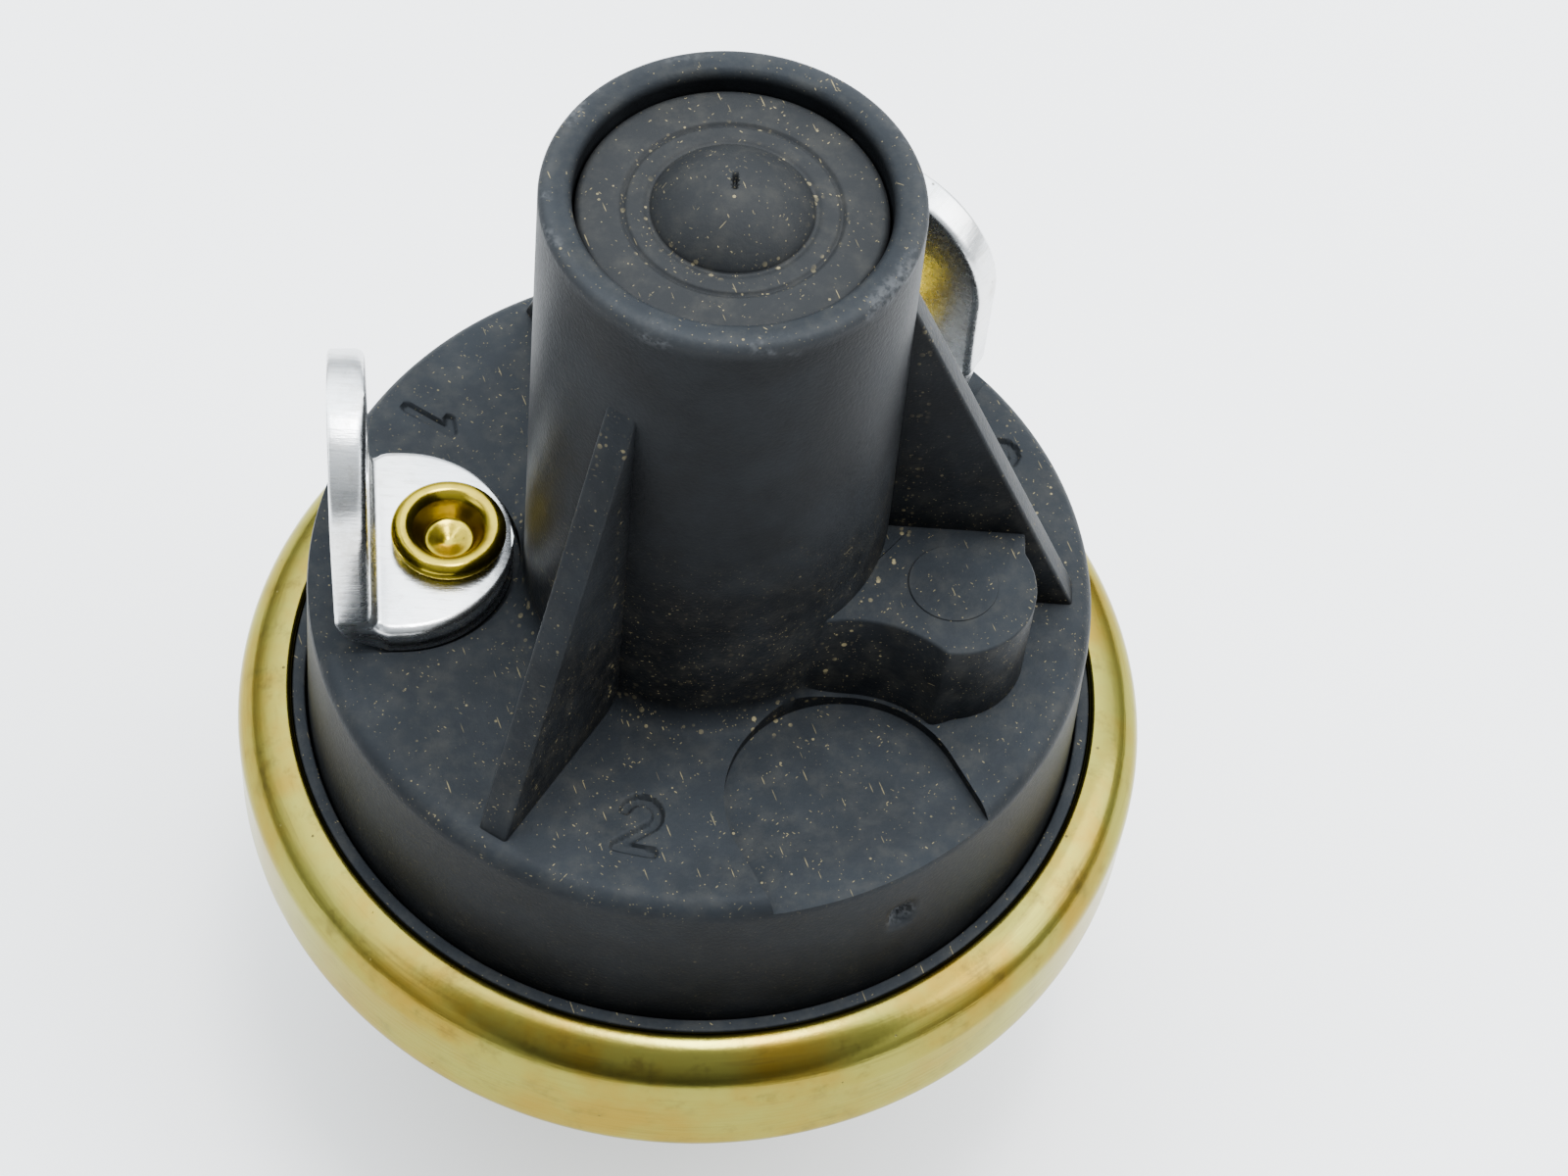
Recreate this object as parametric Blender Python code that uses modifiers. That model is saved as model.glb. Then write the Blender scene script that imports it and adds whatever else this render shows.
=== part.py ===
"""Diaphragm pressure switch with two riveted terminals: a moulded cover crimped over a threaded steel base.

Units are metres, +Z runs up the switch's own axis, and the origin is the middle of the port's end face.
"""

import math

import bmesh
import bpy

# Port, hexagon and the pressure plate of the base fitting
PORT_LENGTH = 0.0100
PORT_RADIUS = 0.00518
PORT_PITCH = 0.00094
PORT_THREAD_DEPTH = 0.00070
PORT_TAPER = 1 / 32
PORT_BORE_RADIUS = 0.0022
HEX_ACROSS_FLATS = 0.0222
HEX_HEIGHT = 0.0068
HEX_CHAMFER = 0.0008
PLATE_THICKNESS = 0.0017
CHAMBER_RADIUS = 0.0120
CHAMBER_DEPTH = 0.0008
SEAL_INSET = 0.0046
SEAL_SECTION = 0.0009

# Crimped steel shell
SHELL_RADIUS = 0.0215
SHELL_WALL = 0.0009
SHELL_ROLL = 0.0025
SHELL_CORNER = 0.0010

# Moulded cover: flange, drum and tower
FLANGE_EDGE = 0.00025
LIP_GAP = 0.00085
DRUM_DRAFT = 0.00028
DRUM_HEIGHT = 0.0088
DRUM_EDGE = 0.0010
DRUM_WALL = 0.0016
DRUM_ROOF = 0.0020
TOWER_HEIGHT = 0.02627
TOWER_TOP_RADIUS = 0.00779
TOWER_FOOT_RADIUS = 0.00810
TOWER_FILLET = 0.0010
TOWER_EDGE = 0.0005
TOWER_BORE_RADIUS = 0.0056
PLUG_SEAT_RADIUS = 0.00642
PLUG_SEAT_DEPTH = 0.0034
RIB_THICKNESS = 0.0014
RIB_FOOT_INSET = 0.00097
RIB_HEIGHT = 0.0205
BOSS_HEIGHT = 0.0053
BOSS_RADIUS = 0.0037
BOSS_PLACE = 0.0115
BOSS_AZIMUTH = -18.2
BOSS_HOLLOW_LEDGE = 0.00062

# Terminals in their pockets, 120 degrees apart, and the ribs half way between them
COMMON_AZIMUTH = 180
COMMON_TURN = 6
OPEN_AZIMUTH = 60
OPEN_TURN = 0
SPARE_AZIMUTH = 300
RIB_AZIMUTHS = (0, 120, 240)
TERMINAL_THICKNESS = 0.0016
TERMINAL_HALF_WIDTH = 0.00503
TERMINAL_ROUND_PLACE = 0.0136
TERMINAL_TAB_PLACE = 0.0150
TERMINAL_TAB_HEIGHT = 0.0120
TERMINAL_HOLE_RADIUS = 0.0019
POCKET_CLEARANCE = 0.0003
POCKET_DEPTH = 0.00055
RIVET_PLACE = 0.0115
RIVET_SHANK_RADIUS = 0.00175
RIVET_HEAD_RADIUS = 0.0026
RIVET_HEAD_THICKNESS = 0.0006
RIVET_ROLL_HEIGHT = 0.0010
RIVET_MOUTH_RADIUS = 0.00185
RIVET_HOLLOW_RADIUS = 0.0011
RIVET_HOLLOW_DEPTH = 0.0021

# Moving stack on the diaphragm, and its stroke to the closed contact
STROKE = 0.0008
CONTACT_REST = 0.00005
DIAPHRAGM_THICKNESS = 0.0006
DIAPHRAGM_RIDGE = 0.0006
CLAMP_RING_THICKNESS = 0.0005
PISTON_RADIUS = 0.0104
PISTON_THICKNESS = 0.0016
PLUNGER_FLANGE_RADIUS = 0.0060
PLUNGER_FLANGE_THICKNESS = 0.0014
PLUNGER_SPIGOT_RADIUS = 0.00195
PLUNGER_STEM_RADIUS = 0.0030
PLUNGER_NOSE_RADIUS = 0.0022
PLUNGER_NOSE_LENGTH = 0.0040
CONTACT_RADIUS = 0.0137
CONTACT_THICKNESS = 0.0005
CONTACT_WIRE = 0.0006
CONTACT_COILS = 3
CLIP_RADIUS = 0.0042
CLIP_THICKNESS = 0.0005
CLIP_GROOVE_DEPTH = 0.0004

# Range spring and its adjuster in the tower
SPRING_RADIUS = 0.0037
SPRING_WIRE = 0.0009
SPRING_COILS = 8
SEAT_RADIUS = 0.0044
SEAT_THICKNESS = 0.0010
SEAT_SPIGOT_RADIUS = 0.0026
SEAT_SPIGOT_LENGTH = 0.0015
SCREW_LENGTH = 0.0060
SCREW_CORE_RADIUS = 0.0046
SCREW_PITCH = 0.0015
SCREW_THREAD_DEPTH = 0.00055
SCREW_DROP = 0.0032
SCREW_THREAD_REACH = 0.0022
KEY_ACROSS_FLATS = 0.0056
KEY_DEPTH = 0.0036

# Rubber plug in the tower's mouth
PLUG_RECESS = 0.0009
PLUG_THICKNESS = 0.0022
PLUG_SKIN = 0.0010
PLUG_HOLLOW_RADIUS = 0.0047
PLUG_DOME_RADIUS = 0.0033
PLUG_DOME_HEIGHT = 0.0016

# Clearances: parts that seat on each other, parts that slide, thread flanks
SEAT_GAP = 0.0001
RUN_GAP = 0.00015
THREAD_GAP = 0.00018

# Fineness of round shapes
ROUND_STEPS = 40
SMALL_STEPS = 32
THREAD_STEPS = 12
CORNER_STEPS = 3

# Heights worked out from the sizes above
SHELL_BOTTOM = PORT_LENGTH + HEX_HEIGHT + 2 * SEAT_GAP
SHELL_FLOOR = SHELL_BOTTOM + SHELL_WALL
PLATE_BOTTOM = SHELL_FLOOR + SEAT_GAP
PLATE_TOP = PLATE_BOTTOM + PLATE_THICKNESS
DIAPHRAGM_BOTTOM = PLATE_TOP + SEAT_GAP
DIAPHRAGM_TOP = DIAPHRAGM_BOTTOM + DIAPHRAGM_THICKNESS
CLAMP_RING_BOTTOM = DIAPHRAGM_TOP + SEAT_GAP
CLAMP_RING_TOP = CLAMP_RING_BOTTOM + CLAMP_RING_THICKNESS
FLANGE_BOTTOM = CLAMP_RING_TOP + SEAT_GAP
ROLL_CENTRE_Z = FLANGE_BOTTOM + FLANGE_EDGE
ROLL_CENTRE_R = SHELL_RADIUS - SHELL_ROLL
SHELL_TOP = ROLL_CENTRE_Z + SHELL_ROLL
FLANGE_ROUND = SHELL_ROLL - SHELL_WALL - SEAT_GAP
FLANGE_RADIUS = ROLL_CENTRE_R + FLANGE_ROUND
FLANGE_TOP = ROLL_CENTRE_Z + FLANGE_ROUND
DRUM_FOOT_RADIUS = ROLL_CENTRE_R - LIP_GAP
DRUM_RADIUS = DRUM_FOOT_RADIUS - DRUM_DRAFT
RIB_FOOT_RADIUS = DRUM_RADIUS - RIB_FOOT_INSET
DRUM_TOP = SHELL_TOP + DRUM_HEIGHT
ROOF_UNDERSIDE = DRUM_TOP - DRUM_ROOF
TOWER_TOP = DRUM_TOP + TOWER_HEIGHT
PLUG_SEAT_Z = TOWER_TOP - PLUG_SEAT_DEPTH
SEAL_RADIUS = SHELL_RADIUS - SEAL_INSET
NECK_RADIUS = HEX_ACROSS_FLATS / math.sqrt(3) + SEAT_GAP
POCKET_HALF_WIDTH = TERMINAL_HALF_WIDTH + POCKET_CLEARANCE
POCKET_FLOOR = DRUM_TOP - POCKET_DEPTH
FOOT_BOTTOM = POCKET_FLOOR + SEAT_GAP
FOOT_TOP = FOOT_BOTTOM + TERMINAL_THICKNESS
RIVET_HEAD_BOTTOM = ROOF_UNDERSIDE - SEAT_GAP - RIVET_HEAD_THICKNESS
CONTACT_TOP = RIVET_HEAD_BOTTOM - STROKE - CONTACT_REST
CONTACT_BOTTOM = CONTACT_TOP - CONTACT_THICKNESS
PISTON_BOTTOM = DIAPHRAGM_TOP + SEAT_GAP
PISTON_TOP = PISTON_BOTTOM + PISTON_THICKNESS
PLUNGER_FLANGE_BOTTOM = PISTON_TOP + SEAT_GAP
PLUNGER_FLANGE_TOP = PLUNGER_FLANGE_BOTTOM + PLUNGER_FLANGE_THICKNESS
CLIP_BOTTOM = CONTACT_TOP + SEAT_GAP
CLIP_TOP = CLIP_BOTTOM + CLIP_THICKNESS
PLUNGER_SHOULDER = CLIP_TOP + 2 * CLIP_THICKNESS
LOWER_SEAT_BOTTOM = PLUNGER_SHOULDER + SEAT_GAP
LOWER_SEAT_TOP = LOWER_SEAT_BOTTOM + SEAT_THICKNESS
SCREW_TOP = PLUG_SEAT_Z - SCREW_DROP
SCREW_BOTTOM = SCREW_TOP - SCREW_LENGTH
UPPER_SEAT_TOP = SCREW_BOTTOM - SEAT_GAP
UPPER_SEAT_BOTTOM = UPPER_SEAT_TOP - SEAT_THICKNESS
TOWER_THREAD_BOTTOM = UPPER_SEAT_BOTTOM - SCREW_THREAD_REACH
TOWER_THREAD_RADIUS = SCREW_CORE_RADIUS + RUN_GAP
PLUG_TOP = TOWER_TOP - PLUG_RECESS
PLUG_BOTTOM = PLUG_TOP - PLUG_THICKNESS
CUT_MARGIN = 0.0010


def clear_scene():
    """Removes every object, and makes the collections for the parts and for their cutters."""
    for obj in list(bpy.data.objects):
        bpy.data.objects.remove(obj, do_unlink=True)
    made = []
    for name in ("pressure_switch", "cutters"):
        collection = bpy.data.collections.new(name)
        bpy.context.scene.collection.children.link(collection)
        made.append(collection)
    return made


PARTS, CUTTERS = clear_scene()


def finish(name, colour, roughness, metallic):
    """A plain material for one kind of surface."""
    material = bpy.data.materials.new(name)
    material.use_nodes = True
    shader = material.node_tree.nodes["Principled BSDF"]
    shader.inputs["Base Color"].default_value = (*colour, 1.0)
    shader.inputs["Roughness"].default_value = roughness
    shader.inputs["Metallic"].default_value = metallic
    return material


BLACK_MOULDING = finish("black_moulding", (0.022, 0.024, 0.028), 0.55, 0.0)
BLACK_RUBBER = finish("black_rubber", (0.030, 0.032, 0.036), 0.65, 0.0)
GOLD_PLATING = finish("gold_passivated_steel", (0.62, 0.50, 0.20), 0.28, 1.0)
BRIGHT_PLATING = finish("bright_plated_steel", (0.72, 0.72, 0.70), 0.25, 1.0)
BRASS = finish("brass", (0.70, 0.52, 0.16), 0.22, 1.0)
SILVERED = finish("silvered_copper", (0.80, 0.76, 0.70), 0.25, 1.0)
SPRING_STEEL = finish("spring_steel", (0.42, 0.42, 0.44), 0.30, 1.0)
NYLON = finish("natural_nylon", (0.72, 0.69, 0.60), 0.45, 0.0)
DIAPHRAGM_FILM = finish("diaphragm_rubber", (0.055, 0.040, 0.030), 0.60, 0.0)


def add_object(name, data, material):
    """Links a new object: a part where it has a material, and otherwise a cutter."""
    obj = bpy.data.objects.new(name, data)
    if material:
        PARTS.objects.link(obj)
        data.materials.append(material)
    else:
        CUTTERS.objects.link(obj)
        obj.hide_render = True
        obj.display_type = "WIRE"
    return obj


def arc(centre_r, centre_z, radius, start, end, steps=CORNER_STEPS):
    """Points (r, z) along an arc of a profile, angles in degrees from outwards to up."""
    points = []
    for k in range(steps + 1):
        angle = math.radians(start + (end - start) * k / steps)
        points.append((centre_r + radius * math.cos(angle), centre_z + radius * math.sin(angle)))
    return points


def turned(name, profile, material=None, steps=ROUND_STEPS, closed=False):
    """A profile of (r, z) points turned about Z; it runs down its outer side."""
    mesh = bpy.data.meshes.new(name)
    count = len(profile)
    edges = [(k, k + 1) for k in range(count - 1)]
    if closed:
        edges.append((count - 1, 0))
    mesh.from_pydata([(r, 0.0, z) for r, z in profile], edges, [])
    obj = add_object(name, mesh, material)
    screw = obj.modifiers.new("turn", "SCREW")
    screw.steps = screw.render_steps = steps
    screw.use_merge_vertices = True
    screw.merge_threshold = 0.000001
    screw.use_smooth_shade = True
    return obj


def baked(obj):
    """Turns an object's modifiers into its own welded mesh, facing outwards."""
    graph = bpy.context.evaluated_depsgraph_get()
    mesh = bpy.data.meshes.new_from_object(obj.evaluated_get(graph))
    obj.modifiers.clear()
    obj.data = mesh
    cage = bmesh.new()
    cage.from_mesh(mesh)
    bmesh.ops.remove_doubles(cage, verts=cage.verts, dist=0.0000005)
    open_edges = [edge for edge in cage.edges if edge.is_boundary]
    if open_edges:
        bmesh.ops.holes_fill(cage, edges=open_edges, sides=0)
    bmesh.ops.recalc_face_normals(cage, faces=cage.faces)
    cage.to_mesh(mesh)
    cage.free()
    return obj


def plate(name, outline, thickness, material=None, holes=()):
    """A flat outline in X and Y, thickness up from Z zero, as a closed mesh; loops are lists of points."""
    curve = bpy.data.curves.new(name, "CURVE")
    curve.dimensions = "2D"
    curve.fill_mode = "BOTH"
    curve.extrude = thickness / 2
    for loop in (outline, *holes):
        spline = curve.splines.new("POLY")
        spline.points.add(len(loop) - 1)
        for point, (x, y) in zip(spline.points, loop):
            point.co = (x, y, 0.0, 1.0)
        spline.use_cyclic_u = True
    flat = bpy.data.objects.new(name + "_outline", curve)
    bpy.context.scene.collection.objects.link(flat)
    graph = bpy.context.evaluated_depsgraph_get()
    mesh = bpy.data.meshes.new_from_object(flat.evaluated_get(graph))
    bpy.data.objects.remove(flat, do_unlink=True)
    mesh.name = name
    for vertex in mesh.vertices:
        vertex.co.z += thickness / 2
    mesh.materials.clear()
    return baked(add_object(name, mesh, material))


def circle(centre_x, centre_y, radius, steps=SMALL_STEPS, start=0.0, sweep=360.0):
    """Points round a circle, or along part of one, in degrees."""
    count = steps if sweep >= 360 else steps + 1
    points = []
    for k in range(count):
        angle = math.radians(start + sweep * k / steps)
        points.append((centre_x + radius * math.cos(angle), centre_y + radius * math.sin(angle)))
    return points


def boolean(obj, other, operation):
    """Adds, cuts or keeps the common part of two solids."""
    modifier = obj.modifiers.new(other.name, "BOOLEAN")
    modifier.operation = operation
    modifier.object = other
    modifier.solver = "EXACT"
    return modifier


def placed(obj, azimuth, z=0.0):
    """Turns an object about the switch's axis and lifts it."""
    obj.rotation_euler = (0.0, 0.0, math.radians(azimuth))
    obj.location = (0.0, 0.0, z)
    return obj


def helical_ridge(name, inner, outer, root_width, crest_width, pitch, bottom, turns, taper=0.0):
    """A closed helical rib of a trapezium section, right-handed, widening downwards or upwards by its taper."""
    section = [
        (inner, -root_width / 2),
        (inner, root_width / 2),
        (outer, crest_width / 2),
        (outer, -crest_width / 2),
    ]
    mesh = bpy.data.meshes.new(name)
    mesh.from_pydata([(r, 0.0, bottom + z) for r, z in section], [(0, 1), (1, 2), (2, 3), (3, 0)], [])
    obj = add_object(name, mesh, None)
    screw = obj.modifiers.new("helix", "SCREW")
    screw.steps = screw.render_steps = THREAD_STEPS
    screw.screw_offset = pitch
    screw.iterations = turns
    screw.use_merge_vertices = False
    bpy.context.view_layer.update()
    baked(obj)
    for vertex in obj.data.vertices:
        radius = math.hypot(vertex.co.x, vertex.co.y)
        grown = 1 + taper * (vertex.co.z - bottom) / radius
        vertex.co.x *= grown
        vertex.co.y *= grown
    return obj


def coil(name, radius, wire, bottom, top, turns, material):
    """A compression spring of round wire between two heights, its end turns closed down."""
    steps = 10
    low = bottom + wire / 2
    high = top - wire / 2
    closed_turns = 1.0
    points = []
    total = int(steps * (turns + 2 * closed_turns))
    closed_rise = wire * 1.75
    for k in range(total + 1):
        turn = k / steps
        if turn < closed_turns:
            z = low + closed_rise * turn / closed_turns
        elif turn > turns + closed_turns:
            z = high - closed_rise * (turns + 2 * closed_turns - turn) / closed_turns
        else:
            share = (turn - closed_turns) / turns
            z = low + closed_rise + (high - low - 2 * closed_rise) * share
        angle = 2 * math.pi * turn
        points.append((radius * math.cos(angle), radius * math.sin(angle), z))
    gap = min(math.dist(points[k], points[k + steps]) for k in range(total + 1 - steps)) - wire
    print(f"{name}: least gap between turns {gap * 1000:.2f} mm")
    curve = bpy.data.curves.new(name, "CURVE")
    curve.dimensions = "3D"
    curve.bevel_depth = wire / 2
    curve.bevel_resolution = 1
    curve.use_fill_caps = True
    spline = curve.splines.new("POLY")
    spline.points.add(len(points) - 1)
    for point, place in zip(spline.points, points):
        point.co = (*place, 1.0)
    return add_object(name, curve, material)


def make_base_fitting():
    """Port with its tapered thread, hexagon, and the plate that the diaphragm is clamped on."""
    core = PORT_RADIUS - PORT_THREAD_DEPTH
    port_top = PORT_LENGTH + HEX_CHAMFER
    groove_floor = PLATE_TOP - SEAL_SECTION - SEAT_GAP
    groove_half = SEAL_SECTION / 2 + RUN_GAP
    plate_radius = SHELL_RADIUS - SHELL_WALL - SEAT_GAP
    profile = [
        (CHAMBER_RADIUS, PLATE_TOP),
        (SEAL_RADIUS - groove_half, PLATE_TOP),
        (SEAL_RADIUS - groove_half, groove_floor),
        (SEAL_RADIUS + groove_half, groove_floor),
        (SEAL_RADIUS + groove_half, PLATE_TOP),
        (plate_radius, PLATE_TOP),
        (plate_radius, PLATE_BOTTOM + SHELL_CORNER * 0.6),
        (plate_radius - SHELL_CORNER * 0.6, PLATE_BOTTOM),
        (NECK_RADIUS, PLATE_BOTTOM),
        (NECK_RADIUS, PORT_LENGTH + HEX_HEIGHT - SEAT_GAP),
        (core + PORT_TAPER * PORT_LENGTH, PORT_LENGTH + HEX_HEIGHT - SEAT_GAP),
        (core + PORT_TAPER * PORT_LENGTH, port_top),
        (core, 0.0),
        (PORT_BORE_RADIUS, 0.0),
        (PORT_BORE_RADIUS, PLATE_TOP - CHAMBER_DEPTH),
        (CHAMBER_RADIUS, PLATE_TOP - CHAMBER_DEPTH),
    ]
    fitting = turned("base_fitting", profile, GOLD_PLATING, closed=True)
    hexagon = plate(
        "hexagon_blank",
        circle(0.0, 0.0, HEX_ACROSS_FLATS / math.sqrt(3), steps=6),
        HEX_HEIGHT,
        holes=[circle(0.0, 0.0, (PORT_BORE_RADIUS + core) / 2)],
    )
    hexagon.location.z = PORT_LENGTH
    corner = HEX_ACROSS_FLATS / math.sqrt(3) + CUT_MARGIN
    flat = HEX_ACROSS_FLATS / 2
    chamfer = [
        (0.0, SHELL_BOTTOM),
        (corner, SHELL_BOTTOM),
        (corner, PORT_LENGTH + (corner - flat) * math.tan(math.radians(30))),
        (flat - CUT_MARGIN, PORT_LENGTH - CUT_MARGIN * math.tan(math.radians(30))),
        (0.0, PORT_LENGTH - CUT_MARGIN * math.tan(math.radians(30))),
    ]
    boolean(hexagon, turned("hexagon_chamfer", chamfer), "INTERSECT")
    boolean(fitting, hexagon, "UNION")
    turns = int((PORT_LENGTH - HEX_CHAMFER) / PORT_PITCH) - 1
    ridge = helical_ridge(
        "port_thread",
        core - SEAT_GAP,
        PORT_RADIUS,
        PORT_PITCH * 0.86,
        PORT_PITCH * 0.16,
        PORT_PITCH,
        PORT_PITCH * 0.7,
        turns,
        PORT_TAPER,
    )
    boolean(fitting, ridge, "UNION")
    return fitting


def make_base_seal():
    """Round seal in the base plate's groove."""
    section = SEAL_SECTION / 2 - SEAT_GAP / 2
    middle = PLATE_TOP - SEAL_SECTION / 2
    ring = arc(SEAL_RADIUS, middle, section, 90, -270, 8)[:-1]
    return turned("base_seal", ring, BLACK_RUBBER, steps=SMALL_STEPS, closed=True)


def make_crimp_shell():
    """Drawn steel shell: a floor under the base plate, a wall, and a lip rolled over the cover's flange."""
    hole = NECK_RADIUS + RUN_GAP
    inner_corner = SHELL_CORNER - SHELL_WALL * 0.6
    outer = arc(ROLL_CENTRE_R, ROLL_CENTRE_Z, SHELL_ROLL, 90, 0, 6)
    outer += arc(SHELL_RADIUS - SHELL_CORNER, SHELL_BOTTOM + SHELL_CORNER, SHELL_CORNER, 0, -90)
    inner_wall = SHELL_RADIUS - SHELL_WALL
    inner = [(hole, SHELL_BOTTOM), (hole, SHELL_FLOOR)]
    inner += [(inner_wall - inner_corner, SHELL_FLOOR), (inner_wall, SHELL_FLOOR + inner_corner)]
    inner += arc(ROLL_CENTRE_R, ROLL_CENTRE_Z, SHELL_ROLL - SHELL_WALL, 0, 90, 5)
    return turned("crimp_shell", outer + inner, GOLD_PLATING, closed=True)


def turned_on_rivet(points, turn):
    """Points in X and Y turned about the middle of a terminal's rivet, in degrees."""
    cosine = math.cos(math.radians(turn))
    sine = math.sin(math.radians(turn))
    moved = []
    for x, y in points:
        away = x - RIVET_PLACE
        moved.append((RIVET_PLACE + away * cosine - y * sine, away * sine + y * cosine))
    return moved


def pocket_outline(reach, spare=0.0):
    """U-shaped outline of a terminal's pocket, open towards the drum's rim."""
    half = POCKET_HALF_WIDTH + spare
    round_end = circle(TERMINAL_ROUND_PLACE, 0.0, half, steps=20, start=90.0, sweep=180.0)
    return round_end + [(reach, -half), (reach, half)]


def make_boss():
    """Raised pad beside the rib at azimuth zero: a round column joined to the tower and the rib."""
    angle = math.radians(BOSS_AZIMUTH)
    x = BOSS_PLACE * math.cos(angle)
    y = BOSS_PLACE * math.sin(angle)
    sink = DRUM_ROOF / 2
    height = BOSS_HEIGHT + sink
    column = plate("boss_column", circle(x, y, BOSS_RADIUS), height)
    tower_inside = TOWER_FOOT_RADIUS - DRUM_WALL / 2
    rib_side = x + BOSS_RADIUS * 0.86
    web = [(tower_inside, y), (rib_side, y), (rib_side, 0.0), (tower_inside, 0.0)]
    apron_x = tower_inside * 0.72
    apron = [(apron_x, y - BOSS_RADIUS), (x, y - BOSS_RADIUS), (x, y + SEAT_GAP), (apron_x, y + SEAT_GAP)]
    boolean(column, plate("boss_web", web, height), "UNION")
    boolean(column, plate("boss_apron", apron, height), "UNION")
    hollow = plate("boss_hollow", pocket_outline(SHELL_RADIUS, BOSS_HOLLOW_LEDGE), height + 2 * CUT_MARGIN)
    placed(hollow, SPARE_AZIMUTH, -CUT_MARGIN)
    boolean(column, hollow, "DIFFERENCE")
    boolean(column, turned("boss_bore", [
        (0.0, height + CUT_MARGIN),
        (tower_inside, height + CUT_MARGIN),
        (tower_inside, -CUT_MARGIN),
        (0.0, -CUT_MARGIN),
    ]), "DIFFERENCE")
    bpy.context.view_layer.update()
    baked(column)
    column.location.z = DRUM_TOP - sink
    return column


def make_rib(azimuth):
    """Triangular gusset between the tower and the drum's roof."""
    inside = TOWER_TOP_RADIUS - DRUM_WALL / 2
    sink = DRUM_ROOF / 2
    slope = (RIB_FOOT_RADIUS - TOWER_TOP_RADIUS) / RIB_HEIGHT
    outline = [
        (inside, -sink),
        (RIB_FOOT_RADIUS + slope * sink, -sink),
        (TOWER_TOP_RADIUS, RIB_HEIGHT),
        (inside, RIB_HEIGHT + (TOWER_TOP_RADIUS - inside) / slope),
    ]
    rib = plate(f"rib_{azimuth}", outline, RIB_THICKNESS)
    for vertex in rib.data.vertices:
        x, y, z = vertex.co
        vertex.co = (x, RIB_THICKNESS / 2 - z, y)
    return placed(rib, azimuth, DRUM_TOP)


def make_cover():
    """Moulded cover: flange under the crimp, drum with terminal pockets, ribs, boss and the spring tower."""
    cavity = DRUM_FOOT_RADIUS - DRUM_WALL
    fillet = TOWER_FILLET
    outer = [(PLUG_SEAT_RADIUS + TOWER_EDGE, TOWER_TOP)]
    outer += arc(TOWER_TOP_RADIUS - TOWER_EDGE, TOWER_TOP - TOWER_EDGE, TOWER_EDGE, 90, 0, 3)
    outer += arc(TOWER_FOOT_RADIUS + fillet, DRUM_TOP + fillet, fillet, 180, 270, 4)
    outer += arc(DRUM_RADIUS - DRUM_EDGE, DRUM_TOP - DRUM_EDGE, DRUM_EDGE, 90, 0)
    outer += [(DRUM_FOOT_RADIUS, FLANGE_TOP)]
    outer += arc(ROLL_CENTRE_R, ROLL_CENTRE_Z, FLANGE_ROUND, 90, 0)
    inner = [
        (FLANGE_RADIUS, FLANGE_BOTTOM),
        (cavity, FLANGE_BOTTOM),
        (cavity, ROOF_UNDERSIDE),
        (TOWER_BORE_RADIUS, ROOF_UNDERSIDE),
        (TOWER_BORE_RADIUS, TOWER_THREAD_BOTTOM),
        (TOWER_THREAD_RADIUS, TOWER_THREAD_BOTTOM),
        (TOWER_THREAD_RADIUS, PLUG_SEAT_Z),
        (PLUG_SEAT_RADIUS, PLUG_SEAT_Z),
        (PLUG_SEAT_RADIUS, TOWER_TOP - TOWER_EDGE),
    ]
    cover = turned("cover", outer + inner, BLACK_MOULDING, closed=True)
    for azimuth in RIB_AZIMUTHS:
        boolean(cover, make_rib(azimuth), "UNION")
    boolean(cover, make_boss(), "UNION")
    for azimuth, turn in ((COMMON_AZIMUTH, COMMON_TURN), (OPEN_AZIMUTH, OPEN_TURN), (SPARE_AZIMUTH, 0)):
        outline = turned_on_rivet(pocket_outline(SHELL_RADIUS), turn)
        pocket = plate(f"pocket_{azimuth}", outline, POCKET_DEPTH + fillet + CUT_MARGIN)
        boolean(cover, placed(pocket, azimuth, POCKET_FLOOR), "DIFFERENCE")
    for azimuth in (COMMON_AZIMUTH, OPEN_AZIMUTH):
        hole = plate(
            f"rivet_hole_{azimuth}",
            circle(RIVET_PLACE, 0.0, RIVET_SHANK_RADIUS + RUN_GAP, steps=20),
            DRUM_ROOF + 2 * CUT_MARGIN,
        )
        boolean(cover, placed(hole, azimuth, ROOF_UNDERSIDE - CUT_MARGIN), "DIFFERENCE")
    turns = int((PLUG_SEAT_Z - TOWER_THREAD_BOTTOM) / SCREW_PITCH) + 3
    groove = helical_ridge(
        "tower_thread",
        TOWER_THREAD_RADIUS - RUN_GAP,
        SCREW_CORE_RADIUS + SCREW_THREAD_DEPTH + THREAD_GAP,
        SCREW_PITCH * 0.62 + 2 * THREAD_GAP,
        SCREW_PITCH * 0.18 + 2 * THREAD_GAP,
        SCREW_PITCH,
        screw_thread_start() - SCREW_PITCH * thread_turns_below(),
        turns,
    )
    boolean(cover, groove, "DIFFERENCE")
    return cover


def screw_thread_start():
    """Height of the lower end of the adjusting screw's thread at rest, on the +X side."""
    return SCREW_BOTTOM + SCREW_PITCH * 0.45


def thread_turns_below():
    """Whole turns of the tower's thread below the screw's own first turn."""
    return int((screw_thread_start() - TOWER_THREAD_BOTTOM) / SCREW_PITCH) + 2


def make_clamp_ring():
    """Thin steel ring between the diaphragm's rim and the cover's flange."""
    inner = DRUM_FOOT_RADIUS - DRUM_WALL
    outer = FLANGE_RADIUS
    profile = [
        (inner, CLAMP_RING_TOP),
        (outer, CLAMP_RING_TOP),
        (outer, CLAMP_RING_BOTTOM),
        (inner, CLAMP_RING_BOTTOM),
    ]
    return turned("clamp_ring", profile, BRIGHT_PLATING, closed=True)


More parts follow.
